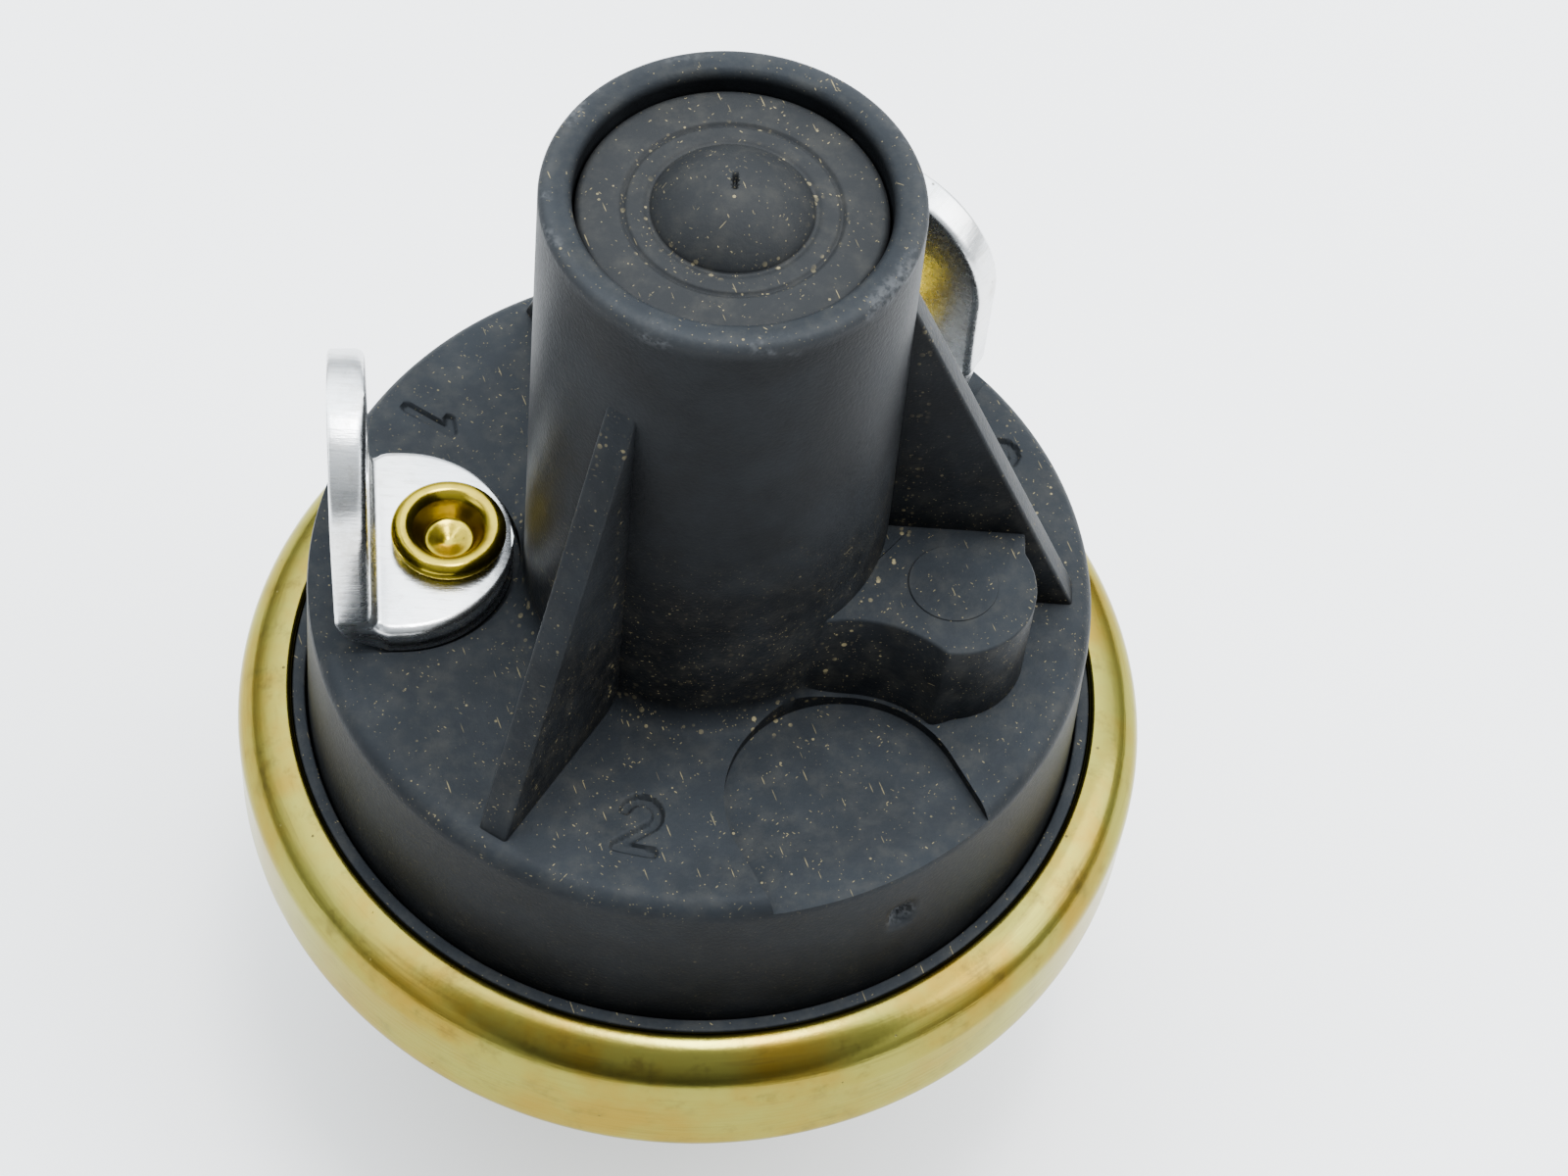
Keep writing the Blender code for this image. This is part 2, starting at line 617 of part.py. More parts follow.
def make_diaphragm():
    """Flexible disc clamped at its rim, with one moulded ridge that lets its middle rise."""
    rim = SHELL_RADIUS - SHELL_WALL - SEAT_GAP
    ridge_middle = (PISTON_RADIUS + DRUM_FOOT_RADIUS - DRUM_WALL) / 2
    half = (DRUM_FOOT_RADIUS - DRUM_WALL - PISTON_RADIUS) / 2 - 2 * RUN_GAP
    profile = [
        (0.0, DIAPHRAGM_TOP),
        (ridge_middle - half, DIAPHRAGM_TOP),
        (ridge_middle - half / 3, DIAPHRAGM_TOP + DIAPHRAGM_RIDGE),
        (ridge_middle + half / 3, DIAPHRAGM_TOP + DIAPHRAGM_RIDGE),
        (ridge_middle + half, DIAPHRAGM_TOP),
        (rim, DIAPHRAGM_TOP),
        (rim, DIAPHRAGM_BOTTOM),
        (ridge_middle + half - DIAPHRAGM_THICKNESS / 2, DIAPHRAGM_BOTTOM),
        (ridge_middle + half / 3 - DIAPHRAGM_THICKNESS / 2, DIAPHRAGM_BOTTOM + DIAPHRAGM_RIDGE),
        (ridge_middle - half / 3 + DIAPHRAGM_THICKNESS / 2, DIAPHRAGM_BOTTOM + DIAPHRAGM_RIDGE),
        (ridge_middle - half + DIAPHRAGM_THICKNESS / 2, DIAPHRAGM_BOTTOM),
        (0.0, DIAPHRAGM_BOTTOM),
    ]
    return turned("diaphragm", profile, DIAPHRAGM_FILM, steps=SMALL_STEPS)


def make_piston_plate():
    """Metal plate that spreads the diaphragm's push, with a hole for the plunger's spigot."""
    hole = PLUNGER_SPIGOT_RADIUS + SEAT_GAP
    profile = [
        (hole, PISTON_TOP),
        (PISTON_RADIUS - RUN_GAP, PISTON_TOP),
        (PISTON_RADIUS, PISTON_TOP - RUN_GAP),
        (PISTON_RADIUS, PISTON_BOTTOM + RUN_GAP),
        (PISTON_RADIUS - RUN_GAP, PISTON_BOTTOM),
        (hole, PISTON_BOTTOM),
    ]
    return turned("piston_plate", profile, BRIGHT_PLATING, steps=SMALL_STEPS, closed=True)


def make_plunger():
    """Insulating plunger: spigot in the piston plate, flange, stem for the contact, nose in the range spring."""
    groove = PLUNGER_STEM_RADIUS - CLIP_GROOVE_DEPTH
    clip_low = CLIP_BOTTOM - SEAT_GAP / 2
    clip_high = CLIP_TOP + SEAT_GAP / 2
    nose_top = PLUNGER_SHOULDER + PLUNGER_NOSE_LENGTH
    profile = [
        (0.0, nose_top),
        (PLUNGER_NOSE_RADIUS - RUN_GAP, nose_top),
        (PLUNGER_NOSE_RADIUS, nose_top - RUN_GAP),
        (PLUNGER_NOSE_RADIUS, PLUNGER_SHOULDER),
        (PLUNGER_STEM_RADIUS, PLUNGER_SHOULDER),
        (PLUNGER_STEM_RADIUS, clip_high),
        (groove, clip_high),
        (groove, clip_low),
        (PLUNGER_STEM_RADIUS, clip_low),
        (PLUNGER_STEM_RADIUS, PLUNGER_FLANGE_TOP),
        (PLUNGER_FLANGE_RADIUS, PLUNGER_FLANGE_TOP),
        (PLUNGER_FLANGE_RADIUS, PLUNGER_FLANGE_BOTTOM),
        (PLUNGER_SPIGOT_RADIUS, PLUNGER_FLANGE_BOTTOM),
        (PLUNGER_SPIGOT_RADIUS, PISTON_BOTTOM + SEAT_GAP),
        (0.0, PISTON_BOTTOM + SEAT_GAP),
    ]
    return turned("plunger", profile, NYLON, steps=SMALL_STEPS)


def make_contact_disc():
    """Moving contact: a thin silvered disc that bridges the two rivet heads."""
    hole = PLUNGER_STEM_RADIUS + RUN_GAP
    profile = [
        (hole, CONTACT_TOP),
        (CONTACT_RADIUS, CONTACT_TOP),
        (CONTACT_RADIUS, CONTACT_BOTTOM),
        (hole, CONTACT_BOTTOM),
    ]
    return turned("contact_disc", profile, SILVERED, steps=SMALL_STEPS, closed=True)


def make_contact_clip():
    """Spring clip in the plunger's groove, open at one side, that keeps the contact on its stem."""
    inner = PLUNGER_STEM_RADIUS - CLIP_GROOVE_DEPTH + SEAT_GAP
    mouth = 50.0
    sweep = 360.0 - mouth
    outline = circle(0.0, 0.0, CLIP_RADIUS, steps=24, start=mouth / 2, sweep=sweep)
    outline += circle(0.0, 0.0, inner, steps=24, start=-mouth / 2, sweep=-sweep)
    clip = plate("contact_clip", outline, CLIP_THICKNESS, SPRING_STEEL)
    clip.location.z = CLIP_BOTTOM
    return clip


def make_contact_spring():
    """Light spring under the contact disc, for wipe and even pressure."""
    radius = PLUNGER_STEM_RADIUS + RUN_GAP + CONTACT_WIRE
    return coil(
        "contact_spring",
        radius,
        CONTACT_WIRE,
        PLUNGER_FLANGE_TOP + SEAT_GAP,
        CONTACT_BOTTOM - SEAT_GAP,
        CONTACT_COILS - 2,
        SPRING_STEEL,
    )


def make_lower_seat():
    """Washer on the plunger's shoulder that carries the range spring."""
    hole = PLUNGER_NOSE_RADIUS + SEAT_GAP
    profile = [
        (hole, LOWER_SEAT_TOP),
        (SEAT_RADIUS, LOWER_SEAT_TOP),
        (SEAT_RADIUS, LOWER_SEAT_BOTTOM),
        (hole, LOWER_SEAT_BOTTOM),
    ]
    return turned("lower_spring_seat", profile, BRIGHT_PLATING, steps=SMALL_STEPS, closed=True)


def make_upper_seat():
    """Seat with a spigot, between the range spring and the adjusting screw."""
    profile = [
        (0.0, UPPER_SEAT_TOP),
        (SEAT_RADIUS, UPPER_SEAT_TOP),
        (SEAT_RADIUS, UPPER_SEAT_BOTTOM),
        (SEAT_SPIGOT_RADIUS, UPPER_SEAT_BOTTOM),
        (SEAT_SPIGOT_RADIUS, UPPER_SEAT_BOTTOM - SEAT_SPIGOT_LENGTH),
        (0.0, UPPER_SEAT_BOTTOM - SEAT_SPIGOT_LENGTH),
    ]
    return turned("upper_spring_seat", profile, BRIGHT_PLATING, steps=SMALL_STEPS)


def make_range_spring():
    """Main spring that sets the pressure at which the contact closes."""
    return coil(
        "range_spring",
        SPRING_RADIUS,
        SPRING_WIRE,
        LOWER_SEAT_TOP + SEAT_GAP,
        UPPER_SEAT_BOTTOM - SEAT_GAP,
        SPRING_COILS - 2,
        SPRING_STEEL,
    )


def make_adjusting_screw():
    """Threaded plug with a hexagon socket; turning it sets the range spring's length."""
    edge = SCREW_THREAD_DEPTH
    profile = [
        (0.0, SCREW_TOP),
        (SCREW_CORE_RADIUS - edge, SCREW_TOP),
        (SCREW_CORE_RADIUS, SCREW_TOP - edge),
        (SCREW_CORE_RADIUS, SCREW_BOTTOM + edge),
        (SCREW_CORE_RADIUS - edge, SCREW_BOTTOM),
        (0.0, SCREW_BOTTOM),
    ]
    screw = turned("adjusting_screw", profile, BRASS, steps=SMALL_STEPS)
    turns = int((SCREW_LENGTH - SCREW_PITCH * 0.9) / SCREW_PITCH)
    ridge = helical_ridge(
        "screw_thread",
        SCREW_CORE_RADIUS - RUN_GAP,
        SCREW_CORE_RADIUS + SCREW_THREAD_DEPTH,
        SCREW_PITCH * 0.62,
        SCREW_PITCH * 0.18,
        SCREW_PITCH,
        screw_thread_start(),
        turns,
    )
    boolean(screw, ridge, "UNION")
    socket = plate(
        "key_socket",
        circle(0.0, 0.0, KEY_ACROSS_FLATS / math.sqrt(3), steps=6),
        KEY_DEPTH + CUT_MARGIN,
    )
    socket.location.z = SCREW_TOP - KEY_DEPTH
    boolean(screw, socket, "DIFFERENCE")
    return screw


def make_tower_plug():
    """Rubber plug that closes the tower, with a small dome in its middle and a hollow underneath."""
    radius = PLUG_SEAT_RADIUS - SEAT_GAP
    dome_reach = PLUG_DOME_RADIUS
    sphere = (dome_reach**2 + PLUG_DOME_HEIGHT**2) / (2 * PLUG_DOME_HEIGHT)
    rise = math.degrees(math.asin(dome_reach / sphere))
    centre = PLUG_TOP + PLUG_DOME_HEIGHT - sphere
    dome = arc(0.0, centre, sphere, 90, 90 - rise, 6)
    inner_sphere = sphere - PLUG_SKIN
    inner_reach = PLUG_DOME_RADIUS - PLUG_SKIN
    inner_rise = math.degrees(math.asin(inner_reach / inner_sphere))
    hollow = arc(0.0, centre, inner_sphere, 90 - inner_rise, 90, 4)
    edge = SEAT_GAP * 3
    profile = dome + [
        (radius - edge, PLUG_TOP),
        (radius, PLUG_TOP - edge),
        (radius, PLUG_BOTTOM),
        (PLUG_HOLLOW_RADIUS, PLUG_BOTTOM),
        (PLUG_HOLLOW_RADIUS, PLUG_TOP - PLUG_SKIN),
        (inner_reach + PLUG_SKIN / 2, PLUG_TOP - PLUG_SKIN),
    ] + hollow
    profile[0] = (0.0, profile[0][1])
    profile[-1] = (0.0, profile[-1][1])
    return turned("tower_plug", profile, BLACK_RUBBER, steps=SMALL_STEPS)


def make_terminal(name, azimuth, turn):
    """Right-angled terminal: a round foot under its rivet and an upright tab with a screw hole."""
    outer_face = TERMINAL_TAB_PLACE + TERMINAL_THICKNESS
    foot_outline = circle(TERMINAL_ROUND_PLACE, 0.0, TERMINAL_HALF_WIDTH, steps=24, start=90.0, sweep=180.0)
    foot_outline += [(outer_face, -TERMINAL_HALF_WIDTH), (outer_face, TERMINAL_HALF_WIDTH)]
    foot_outline = turned_on_rivet(foot_outline, turn)
    rivet_hole = circle(RIVET_PLACE, 0.0, RIVET_SHANK_RADIUS + RUN_GAP, steps=20)
    terminal = plate(name, foot_outline, TERMINAL_THICKNESS, BRIGHT_PLATING, holes=[rivet_hole])
    arch_centre = DRUM_TOP + TERMINAL_TAB_HEIGHT - TERMINAL_HALF_WIDTH - FOOT_BOTTOM
    tab_outline = circle(0.0, arch_centre, TERMINAL_HALF_WIDTH, steps=24, start=0.0, sweep=180.0)
    low = TERMINAL_THICKNESS / 2
    tab_outline += [(-TERMINAL_HALF_WIDTH, low), (TERMINAL_HALF_WIDTH, low)]
    screw_hole = circle(0.0, arch_centre, TERMINAL_HOLE_RADIUS, steps=20)
    tab = plate(name + "_tab", tab_outline, TERMINAL_THICKNESS, holes=[screw_hole])
    for vertex in tab.data.vertices:
        x, y, z = vertex.co
        upright = turned_on_rivet([(TERMINAL_TAB_PLACE + z, x)], turn)[0]
        vertex.co = (*upright, y)
    placed(tab, azimuth, FOOT_BOTTOM)
    placed(terminal, azimuth, FOOT_BOTTOM)
    boolean(terminal, tab, "UNION")
    return terminal


def make_rivet(name, azimuth):
    """Semi-tubular rivet: its solid head is the fixed contact, its hollow end is rolled over the terminal."""
    roll = RIVET_ROLL_HEIGHT / 2
    lip = RIVET_HEAD_RADIUS - RIVET_MOUTH_RADIUS
    roll_bottom = FOOT_TOP + SEAT_GAP
    roll_top = roll_bottom + RIVET_ROLL_HEIGHT
    profile = [
        (0.0, roll_top - RIVET_HOLLOW_DEPTH),
        (RIVET_HOLLOW_RADIUS, roll_top - RIVET_HOLLOW_DEPTH),
        (RIVET_HOLLOW_RADIUS * 1.12, roll_bottom),
        (RIVET_MOUTH_RADIUS - lip / 6, roll_top - roll * 0.5),
        (RIVET_MOUTH_RADIUS, roll_top - roll * 0.12),
    ]
    profile += arc(RIVET_HEAD_RADIUS - roll, roll_top - roll, roll, 80, -90, 5)
    profile += [
        (RIVET_SHANK_RADIUS, roll_bottom),
        (RIVET_SHANK_RADIUS, ROOF_UNDERSIDE - SEAT_GAP),
        (RIVET_HEAD_RADIUS, ROOF_UNDERSIDE - SEAT_GAP),
        (RIVET_HEAD_RADIUS, RIVET_HEAD_BOTTOM),
        (0.0, RIVET_HEAD_BOTTOM),
    ]
    rivet = turned(name, profile, BRASS, steps=20)
    angle = math.radians(azimuth)
    rivet.location = (RIVET_PLACE * math.cos(angle), RIVET_PLACE * math.sin(angle), 0.0)
    return rivet


def shade_parts():
    """Smooth shading on the round parts, with their hard edges kept."""
    for obj in PARTS.objects:
        if obj.type == "MESH" and obj.data.polygons:
            obj.data.shade_smooth()
            obj.data.set_sharp_from_angle(angle=math.radians(35))


def main():
    """Builds every part in the order of assembly."""
    make_base_fitting()
    make_base_seal()
    make_crimp_shell()
    make_diaphragm()
    make_clamp_ring()
    make_piston_plate()
    make_plunger()
    make_contact_spring()
    make_contact_disc()
    make_contact_clip()
    make_lower_seat()
    make_range_spring()
    make_upper_seat()
    make_adjusting_screw()
    make_cover()
    for name, azimuth, turn in (("common", COMMON_AZIMUTH, COMMON_TURN), ("open", OPEN_AZIMUTH, OPEN_TURN)):
        make_terminal(f"terminal_{name}", azimuth, turn)
        make_rivet(f"rivet_{name}", azimuth)
    make_tower_plug()
    shade_parts()


main()
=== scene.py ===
"""Looks of a crimped diaphragm pressure switch: cover, shell, terminals, rivets and plug.

Sizes are millimetres in the part's own frame, with +Z up the switch's axis. The meshes are in metres.
"""

from __future__ import annotations

import logging
import math
from dataclasses import dataclass, replace
from enum import Enum
from typing import Any, Callable

import bmesh
import bpy
import numpy as np
from mathutils import Matrix, Vector


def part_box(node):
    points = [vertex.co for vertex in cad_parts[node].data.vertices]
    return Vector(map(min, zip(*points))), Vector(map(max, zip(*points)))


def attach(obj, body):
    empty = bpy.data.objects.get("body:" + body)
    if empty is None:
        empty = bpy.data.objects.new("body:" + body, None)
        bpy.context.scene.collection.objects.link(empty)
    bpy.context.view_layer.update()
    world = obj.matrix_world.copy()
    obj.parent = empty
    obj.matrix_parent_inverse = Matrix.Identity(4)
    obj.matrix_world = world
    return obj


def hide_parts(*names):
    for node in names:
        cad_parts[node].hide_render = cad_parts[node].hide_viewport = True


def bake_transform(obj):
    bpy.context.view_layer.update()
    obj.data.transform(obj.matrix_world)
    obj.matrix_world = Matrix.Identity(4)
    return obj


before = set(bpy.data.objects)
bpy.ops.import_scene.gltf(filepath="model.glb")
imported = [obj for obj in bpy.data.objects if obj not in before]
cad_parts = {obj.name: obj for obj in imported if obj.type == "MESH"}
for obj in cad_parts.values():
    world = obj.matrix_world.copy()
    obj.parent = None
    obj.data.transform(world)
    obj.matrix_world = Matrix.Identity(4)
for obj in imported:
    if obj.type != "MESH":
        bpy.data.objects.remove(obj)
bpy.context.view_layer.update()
LOG = logging.getLogger("pressure_switch")

Pair = tuple[float, float]
Triple = tuple[float, float, float]

MM = 0.001
HOUSING = "housing"
TOWER_HEIGHT = 26.27
DRUM_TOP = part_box("cover")[1].z / MM - TOWER_HEIGHT
TOWER_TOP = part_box("cover")[1].z / MM
SHELL_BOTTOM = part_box("crimp_shell")[0].z / MM
SHELL_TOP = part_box("crimp_shell")[1].z / MM
SCREW_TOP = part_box("adjusting_screw")[1].z / MM
SCREW_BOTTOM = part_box("adjusting_screw")[0].z / MM
COMMON_AZIMUTH = 180.0
OPEN_AZIMUTH = 60.0
SPARE_AZIMUTH = 300.0
COMMON_TURN = 6.0
GATE_AZIMUTH = -57.5
GATE_HEIGHT = -3.9
GATE_RADIUS = 17.95
RIVET_PLACE = 11.5
DUST_LOW = DRUM_TOP + 3.0
DUST_HIGH = DRUM_TOP + 15.0
FULL_TURN = 2 * math.pi
SAME_POINT = 1e-5
FLAT_ROW = 1e-4
WELD = 1e-7
LEAST_CHORD = 1e-4
SIXTH_TURN = FULL_TURN / 6
THREAD_START = 0.45


def arc(centre_r: float, centre_z: float, radius: float, start: float, end: float, count: int) -> np.ndarray:
    """Points of a circular arc in a profile.

    Args:
        centre_r: Distance of the arc's centre from the axis.
        centre_z: Height of the arc's centre.
        radius: Radius of the arc.
        start: First angle in degrees, from outwards towards up.
        end: Last angle in degrees.
        count: Number of points.

    Returns:
        An array of (r, z) rows.
    """
    angle = np.radians(np.linspace(start, end, count))
    return np.stack([centre_r + radius * np.cos(angle), centre_z + radius * np.sin(angle)], axis=1)


def line(start: Pair, end: Pair, count: int) -> np.ndarray:
    """Evenly spaced points of a straight run in a profile, ends included."""
    share = np.linspace(0.0, 1.0, count)[:, None]
    return np.asarray(start) * (1 - share) + np.asarray(end) * share


def profile(*runs: Any) -> np.ndarray:
    """Joins runs and single points into one profile and drops repeated points.

    Args:
        runs: Arrays of (r, z) rows, or single (r, z) pairs.

    Returns:
        One array of (r, z) rows.
    """
    points = np.concatenate([np.atleast_2d(np.asarray(run, dtype=float)) for run in runs])
    step = np.linalg.norm(np.diff(points, axis=0), axis=1)
    return points[np.concatenate([[True], step > SAME_POINT])]


def smooth(value: np.ndarray, low: float, high: float) -> np.ndarray:
    """Smooth step: 0 below low, 1 above high, 3t^2 - 2t^3 between them."""
    share = np.clip((value - low) / (high - low), 0.0, 1.0)
    return share * share * (3 - 2 * share)


def turned(points: np.ndarray, angles: np.ndarray) -> np.ndarray:
    """Carries a profile round the axis: x = r cos a, y = r sin a, z = z.

    Args:
        points: Rows of (r, z).
        angles: Angles in radians.

    Returns:
        A grid of points, rows by columns by 3.
    """
    radius = points[:, 0][:, None]
    height = np.repeat(points[:, 1][:, None], len(angles), axis=1)
    return np.stack([radius * np.cos(angles), radius * np.sin(angles), height], axis=2)


def wound(radius: np.ndarray, levels: np.ndarray, angles: np.ndarray) -> np.ndarray:
    """A turned surface whose radius changes round the axis: x = r cos a, y = r sin a, z = level.

    Args:
        radius: Radii, rows by columns.
        levels: Height of each row.
        angles: Angle of each column in radians.

    Returns:
        A grid of points, rows by columns by 3.
    """
    height = np.repeat(levels[:, None], len(angles), axis=1)
    return np.stack([radius * np.cos(angles), radius * np.sin(angles), height], axis=2)


def round_angles(count: int) -> np.ndarray:
    """Evenly spaced angles of one full turn, the last one left off."""
    return np.linspace(0.0, FULL_TURN, count, endpoint=False)


def half_turn(angle: np.ndarray) -> np.ndarray:
    """Angles brought to between minus half a turn and half a turn."""
    return (angle + math.pi) % FULL_TURN - math.pi


def direction(azimuth: float) -> np.ndarray:
    """Unit vector square to the axis at an azimuth in degrees, from +X towards +Y."""
    angle = math.radians(azimuth)
    return np.array([math.cos(angle), math.sin(angle)])


def hexagon(across_flats: float, angles: np.ndarray) -> np.ndarray:
    """Radius of a hexagon: half its width across flats / cos(angle off the nearest flat)."""
    return across_flats / 2 / np.cos((angles % SIXTH_TURN) - SIXTH_TURN / 2)


def off_helix(heights: np.ndarray, angles: np.ndarray, pitch: float, start: float) -> np.ndarray:
    """How far points are from a helix, as the distance of their phase from a whole number of turns.

    The phase is (z - start) / pitch - a / 2 pi.

    Args:
        heights: Height of each row.
        angles: Angle of each column in radians.
        pitch: Rise of the helix in one turn.
        start: Height of the helix at angle zero.

    Returns:
        Shares of a turn from 0 to 0.5, rows by columns.
    """
    phase = (heights[:, None] - start) / pitch - angles[None, :] / FULL_TURN
    return np.abs((phase + 0.5) % 1.0 - 0.5)


def rotate(points: np.ndarray, azimuth: float) -> np.ndarray:
    """Turns points about the switch's axis.

    Args:
        points: Points, with x, y and z along the last axis.
        azimuth: Angle in degrees, from +X towards +Y.

    Returns:
        The turned points.
    """
    cosine, sine = math.cos(math.radians(azimuth)), math.sin(math.radians(azimuth))
    x, y, z = points[..., 0], points[..., 1], points[..., 2]
    return np.stack([cosine * x - sine * y, sine * x + cosine * y, z], axis=-1)


def grid_faces(rows: int, columns: int, wrap_rows: bool) -> np.ndarray:
    """Quads of a grid whose columns close on themselves.

    Args:
        rows: Number of rows.
        columns: Number of columns.
        wrap_rows: Whether the last row joins the first.

    Returns:
        An array of four vertex numbers a face.
    """
    row = np.arange(rows if wrap_rows else rows - 1)[:, None]
    column = np.arange(columns)[None, :]
    after_row = (row + 1) % rows
    after_column = (column + 1) % columns
    corners = [
        row * columns + column,
        row * columns + after_column,
        after_row * columns + after_column,
        after_row * columns + column,
    ]
    return np.stack(corners, axis=2).reshape(-1, 4)


def make_object(name: str, points: np.ndarray, faces: list, crease: float = 40.0) -> bpy.types.Object:
    """Puts points and faces into a welded mesh that faces outwards, smooth but for its creases.

    Args:
        name: Name of the piece.
        points: Vertices in millimetres.
        faces: Lists of vertex numbers.
        crease: Edges sharper than this many degrees stay sharp.

    Returns:
        The new object, linked to the scene.
    """
    mesh = bpy.data.meshes.new(name)
    mesh.from_pydata((points.reshape(-1, 3) * MM).tolist(), [], faces)
    cage = bmesh.new()
    cage.from_mesh(mesh)
    bmesh.ops.remove_doubles(cage, verts=cage.verts, dist=WELD)
    bmesh.ops.recalc_face_normals(cage, faces=cage.faces)
    cage.to_mesh(mesh)
    cage.free()
    mesh.shade_smooth()
    mesh.set_sharp_from_angle(angle=math.radians(crease))
    obj = bpy.data.objects.new(name, mesh)
    bpy.context.scene.collection.objects.link(obj)
    return obj


def skin(name: str, grid: np.ndarray, wrap_rows: bool = False, crease: float = 40.0) -> bpy.types.Object:
    """Makes a piece of a grid of points whose columns close on themselves.

    Args:
        name: Name of the piece.
        grid: Points, rows by columns by 3, in millimetres.
        wrap_rows: Whether the rows close on themselves too; if not, the end rows get flat caps.
        crease: Edges sharper than this many degrees stay sharp.

    Returns:
        The new object.
    """
    rows, columns = grid.shape[:2]
    faces = grid_faces(rows, columns, wrap_rows).tolist()
    if not wrap_rows:
        if np.ptp(grid[0], axis=0).max() > FLAT_ROW:
            faces.append(list(range(columns))[::-1])
        if np.ptp(grid[-1], axis=0).max() > FLAT_ROW:
            faces.append(list(range((rows - 1) * columns, rows * columns)))
    return make_object(name, grid, faces, crease)


def rounded_plate(
    name: str,
    outline: np.ndarray,
    thickness: float,
    edge: float,
    place: Callable[[np.ndarray, np.ndarray], np.ndarray],
) -> bpy.types.Object:
    """A flat plate with rounded edges: its outline is drawn in along its normals near both faces.

    At angle a of the rounding, the outline is drawn in by edge (1 - sin a) at depth edge (1 - cos a).

    Args:
        name: Name of the piece.
        outline: Closed loop of (u, v) rows, counter-clockwise.
        thickness: Distance between the two faces.
        edge: Radius of the rounding.
        place: Gives points from (u, v) rows and heights through the thickness.

    Returns:
        The new object.
    """
    along = np.roll(outline, -1, axis=0) - np.roll(outline, 1, axis=0)
    along /= np.linalg.norm(along, axis=1)[:, None]
    outwards = np.stack([along[:, 1], -along[:, 0]], axis=1)
    turn = np.linspace(0.0, math.pi / 2, 5)
    draw_in = np.concatenate([edge * (1 - np.sin(turn)), edge * (1 - np.cos(turn))])
    depth = np.concatenate([edge * (1 - np.cos(turn)), thickness - edge * (1 - np.sin(turn))])
    loops = outline[None] - draw_in[:, None, None] * outwards[None]
    heights = np.repeat(depth[:, None], len(outline), axis=1)
    return skin(name, place(loops, heights), crease=30.0)


def resampled(points: np.ndarray, step: float) -> np.ndarray:
    """Spaces the points of a closed outline evenly along its length.

    Args:
        points: Rows of (u, v).
        step: Distance between neighbours, about.

    Returns:
        The new rows of (u, v).
    """
    loop = np.concatenate([points, points[:1]])
    length = np.concatenate([[0.0], np.cumsum(np.linalg.norm(np.diff(loop, axis=0), axis=1))])
    places = np.linspace(0.0, length[-1], int(length[-1] / step), endpoint=False)
    return np.stack([np.interp(places, length, loop[:, k]) for k in range(2)], axis=1)


def cut_away(obj: bpy.types.Object, cutters: list[bpy.types.Object], crease: float = 40.0) -> None:
    """Cuts closed bodies out of a piece, keeps the cut mesh and removes the cutters.

    Args:
        obj: The piece.
        cutters: Bodies to take away.
        crease: Edges sharper than this many degrees stay sharp.
    """
    for cutter in cutters:
        cut = obj.modifiers.new(cutter.name, "BOOLEAN")
        cut.operation = "DIFFERENCE"
        cut.solver = "EXACT"
        cut.object = cutter
    graph = bpy.context.evaluated_depsgraph_get()
    made = bpy.data.meshes.new_from_object(obj.evaluated_get(graph))
    obj.modifiers.clear()
    obj.data = made
    made.set_sharp_from_angle(angle=math.radians(crease))
    for cutter in cutters:
        bpy.data.objects.remove(cutter, do_unlink=True)


class Wire:
    """One socket of a shader, with arithmetic that adds Math nodes."""

    def __init__(self, board: Board, socket: bpy.types.NodeSocket) -> None:
        """Keeps the board and the socket."""
        self.board = board
        self.socket = socket

    def _math(self, operation: str, first: Wire | float, second: Wire | float) -> Wire:
        """One Math node on two values."""
        return self.board.node("ShaderNodeMath", {"operation": operation}, {0: first, 1: second})

    def __add__(self, other: Wire | float) -> Wire:
        """Sum."""
        return self._math("ADD", self, other)

    __radd__ = __add__

    def __sub__(self, other: Wire | float) -> Wire:
        """Difference."""
        return self._math("SUBTRACT", self, other)

    def __rsub__(self, other: Wire | float) -> Wire:
        """Reflected difference."""
        return self._math("SUBTRACT", other, self)

    def __mul__(self, other: Wire | float) -> Wire:
        """Product."""
        return self._math("MULTIPLY", self, other)

    __rmul__ = __mul__

    def maximum(self, other: Wire | float) -> Wire:
        """The larger of two values."""
        return self._math("MAXIMUM", self, other)

    def clamp(self) -> Wire:
        """The value kept between 0 and 1."""
        return self.board.node("ShaderNodeClamp", {}, {"Value": self})

    def band(self, low: float, high: float) -> Wire:
        """A smooth step from 0 at low to 1 at high, or falling where low is the larger."""
        inputs = {"Value": self, "From Min": low, "From Max": high, "To Min": 0.0, "To Max": 1.0}
        return self.board.node("ShaderNodeMapRange", {"interpolation_type": "SMOOTHSTEP"}, inputs)


